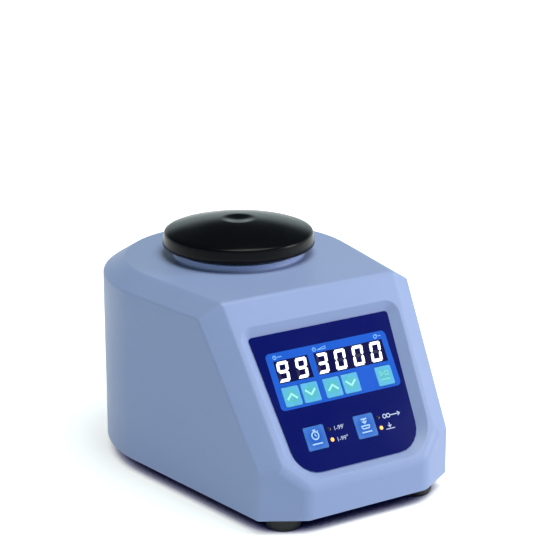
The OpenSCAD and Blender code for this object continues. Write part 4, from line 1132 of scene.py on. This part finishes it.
class VORTEX_OT_stage(bpy.types.Operator):
    """Set the floor, the studio light and the camera"""
    bl_idname = "vortex_mixer.stage"
    bl_label = "Stage"

    def execute(self, context):
        scene = context.scene
        start()
        bpy.ops.mesh.primitive_plane_add(size=scene.vortex_mixer.floor_size, location=(0, 0, 0))
        floor = context.object
        floor.name = "floor"
        place(floor)
        floor.data.materials.append(self.paper())
        self.sky(scene)
        for name, (place_m, side_m, power, tint) in SOFTBOXES.items():
            self.lamp(name, place_m, side_m, power, tint)
        self.camera(scene)
        scene.view_settings.view_transform = "Standard"
        return {"FINISHED"}

    def paper(self):
        # seamless white paper: plain and matte, seen white; it keeps the object's real shadow and carries a
        # painted contact shadow under the base
        m = bpy.data.materials.new("White studio paper")
        m.use_nodes = True
        t = m.node_tree
        t.nodes.remove(t.nodes["Principled BSDF"])
        # close under the base, where little light gets in, a painted contact shadow set by ambient occlusion
        # takes the paper down to a deep navy
        painted_shade_ao = node(t, "ShaderNodeAmbientOcclusion", {"Distance": 0.05}, samples=16)
        painted_shade_mask = node(t, "ShaderNodeMapRange", {"Value": painted_shade_ao.outputs["AO"], "From Min": 0.12,
                                                  "From Max": 0.44}, interpolation_type="SMOOTHSTEP")
        painted_shade_colour = node(t, "ShaderNodeMix", {0: painted_shade_mask.outputs["Result"], 6: colour("#10144C"),
                                          7: colour("#E4EBEE")}, data_type="RGBA")
        dull = node(t, "ShaderNodeBsdfDiffuse", {"Color": painted_shade_colour.outputs[2]})
        where = node(t, "ShaderNodeTexCoord")
        away = node(t, "ShaderNodeVectorMath", {0: where.outputs["Object"]}, operation="LENGTH")
        far = node(t, "ShaderNodeMapRange", {"Value": away.outputs["Value"], "From Min": 0.1, "From Max": 0.6,
                                             "To Min": 0.6, "To Max": 0.95}, interpolation_type="SMOOTHSTEP")
        # the white glow is held back inside the painted contact shadow
        seen_white = node(t, "ShaderNodeMath", {0: far.outputs["Result"], 1: painted_shade_mask.outputs["Result"]},
                          operation="MULTIPLY")
        # painted shade: at the edge of the painted shadow the glow turns violet blue
        painted_shade_fringe = node(t, "ShaderNodeMix", {0: painted_shade_mask.outputs["Result"], 6: colour("#3C3CC8"),
                                           7: colour("#FFFFFF")}, data_type="RGBA")
        glow = node(t, "ShaderNodeEmission", {"Color": painted_shade_fringe.outputs[2], "Strength": seen_white.outputs[0]})
        path = node(t, "ShaderNodeLightPath")
        seen = node(t, "ShaderNodeMath", {0: path.outputs["Is Camera Ray"], 1: path.outputs["Is Glossy Ray"]},
                    operation="MAXIMUM")
        seen = node(t, "ShaderNodeMath", {0: seen.outputs[0], 1: path.outputs["Is Transmission Ray"]},
                    operation="MAXIMUM")
        none = node(t, "ShaderNodeEmission", {"Strength": 0.0})
        light = node(t, "ShaderNodeMixShader", {0: seen.outputs[0], 1: none.outputs[0], 2: glow.outputs[0]})
        both = node(t, "ShaderNodeAddShader", {0: dull.outputs[0], 1: light.outputs[0]})
        t.links.new(both.outputs[0], t.nodes["Material Output"].inputs["Surface"])
        return m

    def sky(self, scene):
        """A pale sky from below the horizon to a little above it, under a dark ceiling."""
        world = bpy.data.worlds.new("Studio")
        scene.world = world
        world.use_nodes = True
        t = world.node_tree
        where = node(t, "ShaderNodeTexCoord")
        split = node(t, "ShaderNodeSeparateXYZ", {"Vector": where.outputs["Generated"]})
        ramp = node(t, "ShaderNodeMapRange", {"Value": split.outputs["Z"], "From Min": 0.22, "From Max": 0.36,
                                              "To Min": 0.9, "To Max": 0.04})
        t.links.new(ramp.outputs["Result"], t.nodes["Background"].inputs["Strength"])
        t.nodes["Background"].inputs["Color"].default_value = (0.82, 0.98, 1.0, 1)
        # the camera sees plain white beyond the floor's edge
        path = node(t, "ShaderNodeLightPath")
        white = node(t, "ShaderNodeBackground", {"Color": (1, 1, 1, 1), "Strength": 1.0})
        seen = node(t, "ShaderNodeMixShader", {0: path.outputs["Is Camera Ray"],
                                               1: t.nodes["Background"].outputs[0], 2: white.outputs[0]})
        t.links.new(seen.outputs[0], t.nodes["World Output"].inputs["Surface"])

    def lamp(self, name, place_m, side_m, power, tint):
        """A square soft box that faces the object."""
        data = bpy.data.lights.new(name, "AREA")
        data.color = tint
        data.shape, data.size, data.size_y, data.energy = "RECTANGLE", side_m, side_m, power
        obj = bpy.data.objects.new(name, data)
        bpy.context.scene.collection.objects.link(obj)
        obj.location = place_m
        obj.rotation_euler = (Vector(LIGHT_AIM) - Vector(place_m)).to_track_quat("-Z", "Y").to_euler()

    def camera(self, scene):
        """Camera from the front left, a little above the object."""
        data = bpy.data.cameras.new("camera")
        data.sensor_width, data.lens = 36.0, CAMERA_LENS
        data.clip_end = 50
        obj = bpy.data.objects.new("camera", data)
        scene.collection.objects.link(obj)
        back = Vector((math.sin(CAMERA_TURN) * math.cos(CAMERA_TILT),
                       -math.cos(CAMERA_TURN) * math.cos(CAMERA_TILT), math.sin(CAMERA_TILT)))
        obj.location = Vector(CAMERA_AIM) + back * CAMERA_REACH
        obj.rotation_euler = (-back).to_track_quat("-Z", "Y").to_euler()
        scene.camera = obj


class VORTEX_PT_panel(bpy.types.Panel):
    """Lists the mixer's sizes, colours and building steps"""
    bl_idname = "VORTEX_PT_panel"
    bl_label = "Vortex Mixer"
    bl_space_type = "VIEW_3D"
    bl_region_type = "UI"
    bl_category = "Vortex Mixer"

    def draw(self, context):
        for name in VortexMixerSettings.__annotations__:
            self.layout.prop(context.scene.vortex_mixer, name)
        for step in STEPS:
            self.layout.operator(step.bl_idname)


STEPS = (VORTEX_OT_housing, VORTEX_OT_display, VORTEX_OT_keys, VORTEX_OT_lamps, VORTEX_OT_platform,
         VORTEX_OT_feet, VORTEX_OT_springs, VORTEX_OT_signs, VORTEX_OT_finishes, VORTEX_OT_stage)
CLASSES = (VortexMixerSettings,) + STEPS + (VORTEX_PT_panel,)


def register():
    for cls in CLASSES:
        bpy.utils.register_class(cls)
    bpy.types.Scene.vortex_mixer = bpy.props.PointerProperty(type=VortexMixerSettings)


def unregister():
    del bpy.types.Scene.vortex_mixer
    for cls in reversed(CLASSES):
        bpy.utils.unregister_class(cls)


def main():
    register()
    for step in STEPS:
        area, name = step.bl_idname.split(".")
        getattr(getattr(bpy.ops, area), name)()


if __name__ == "__main__":
    main()
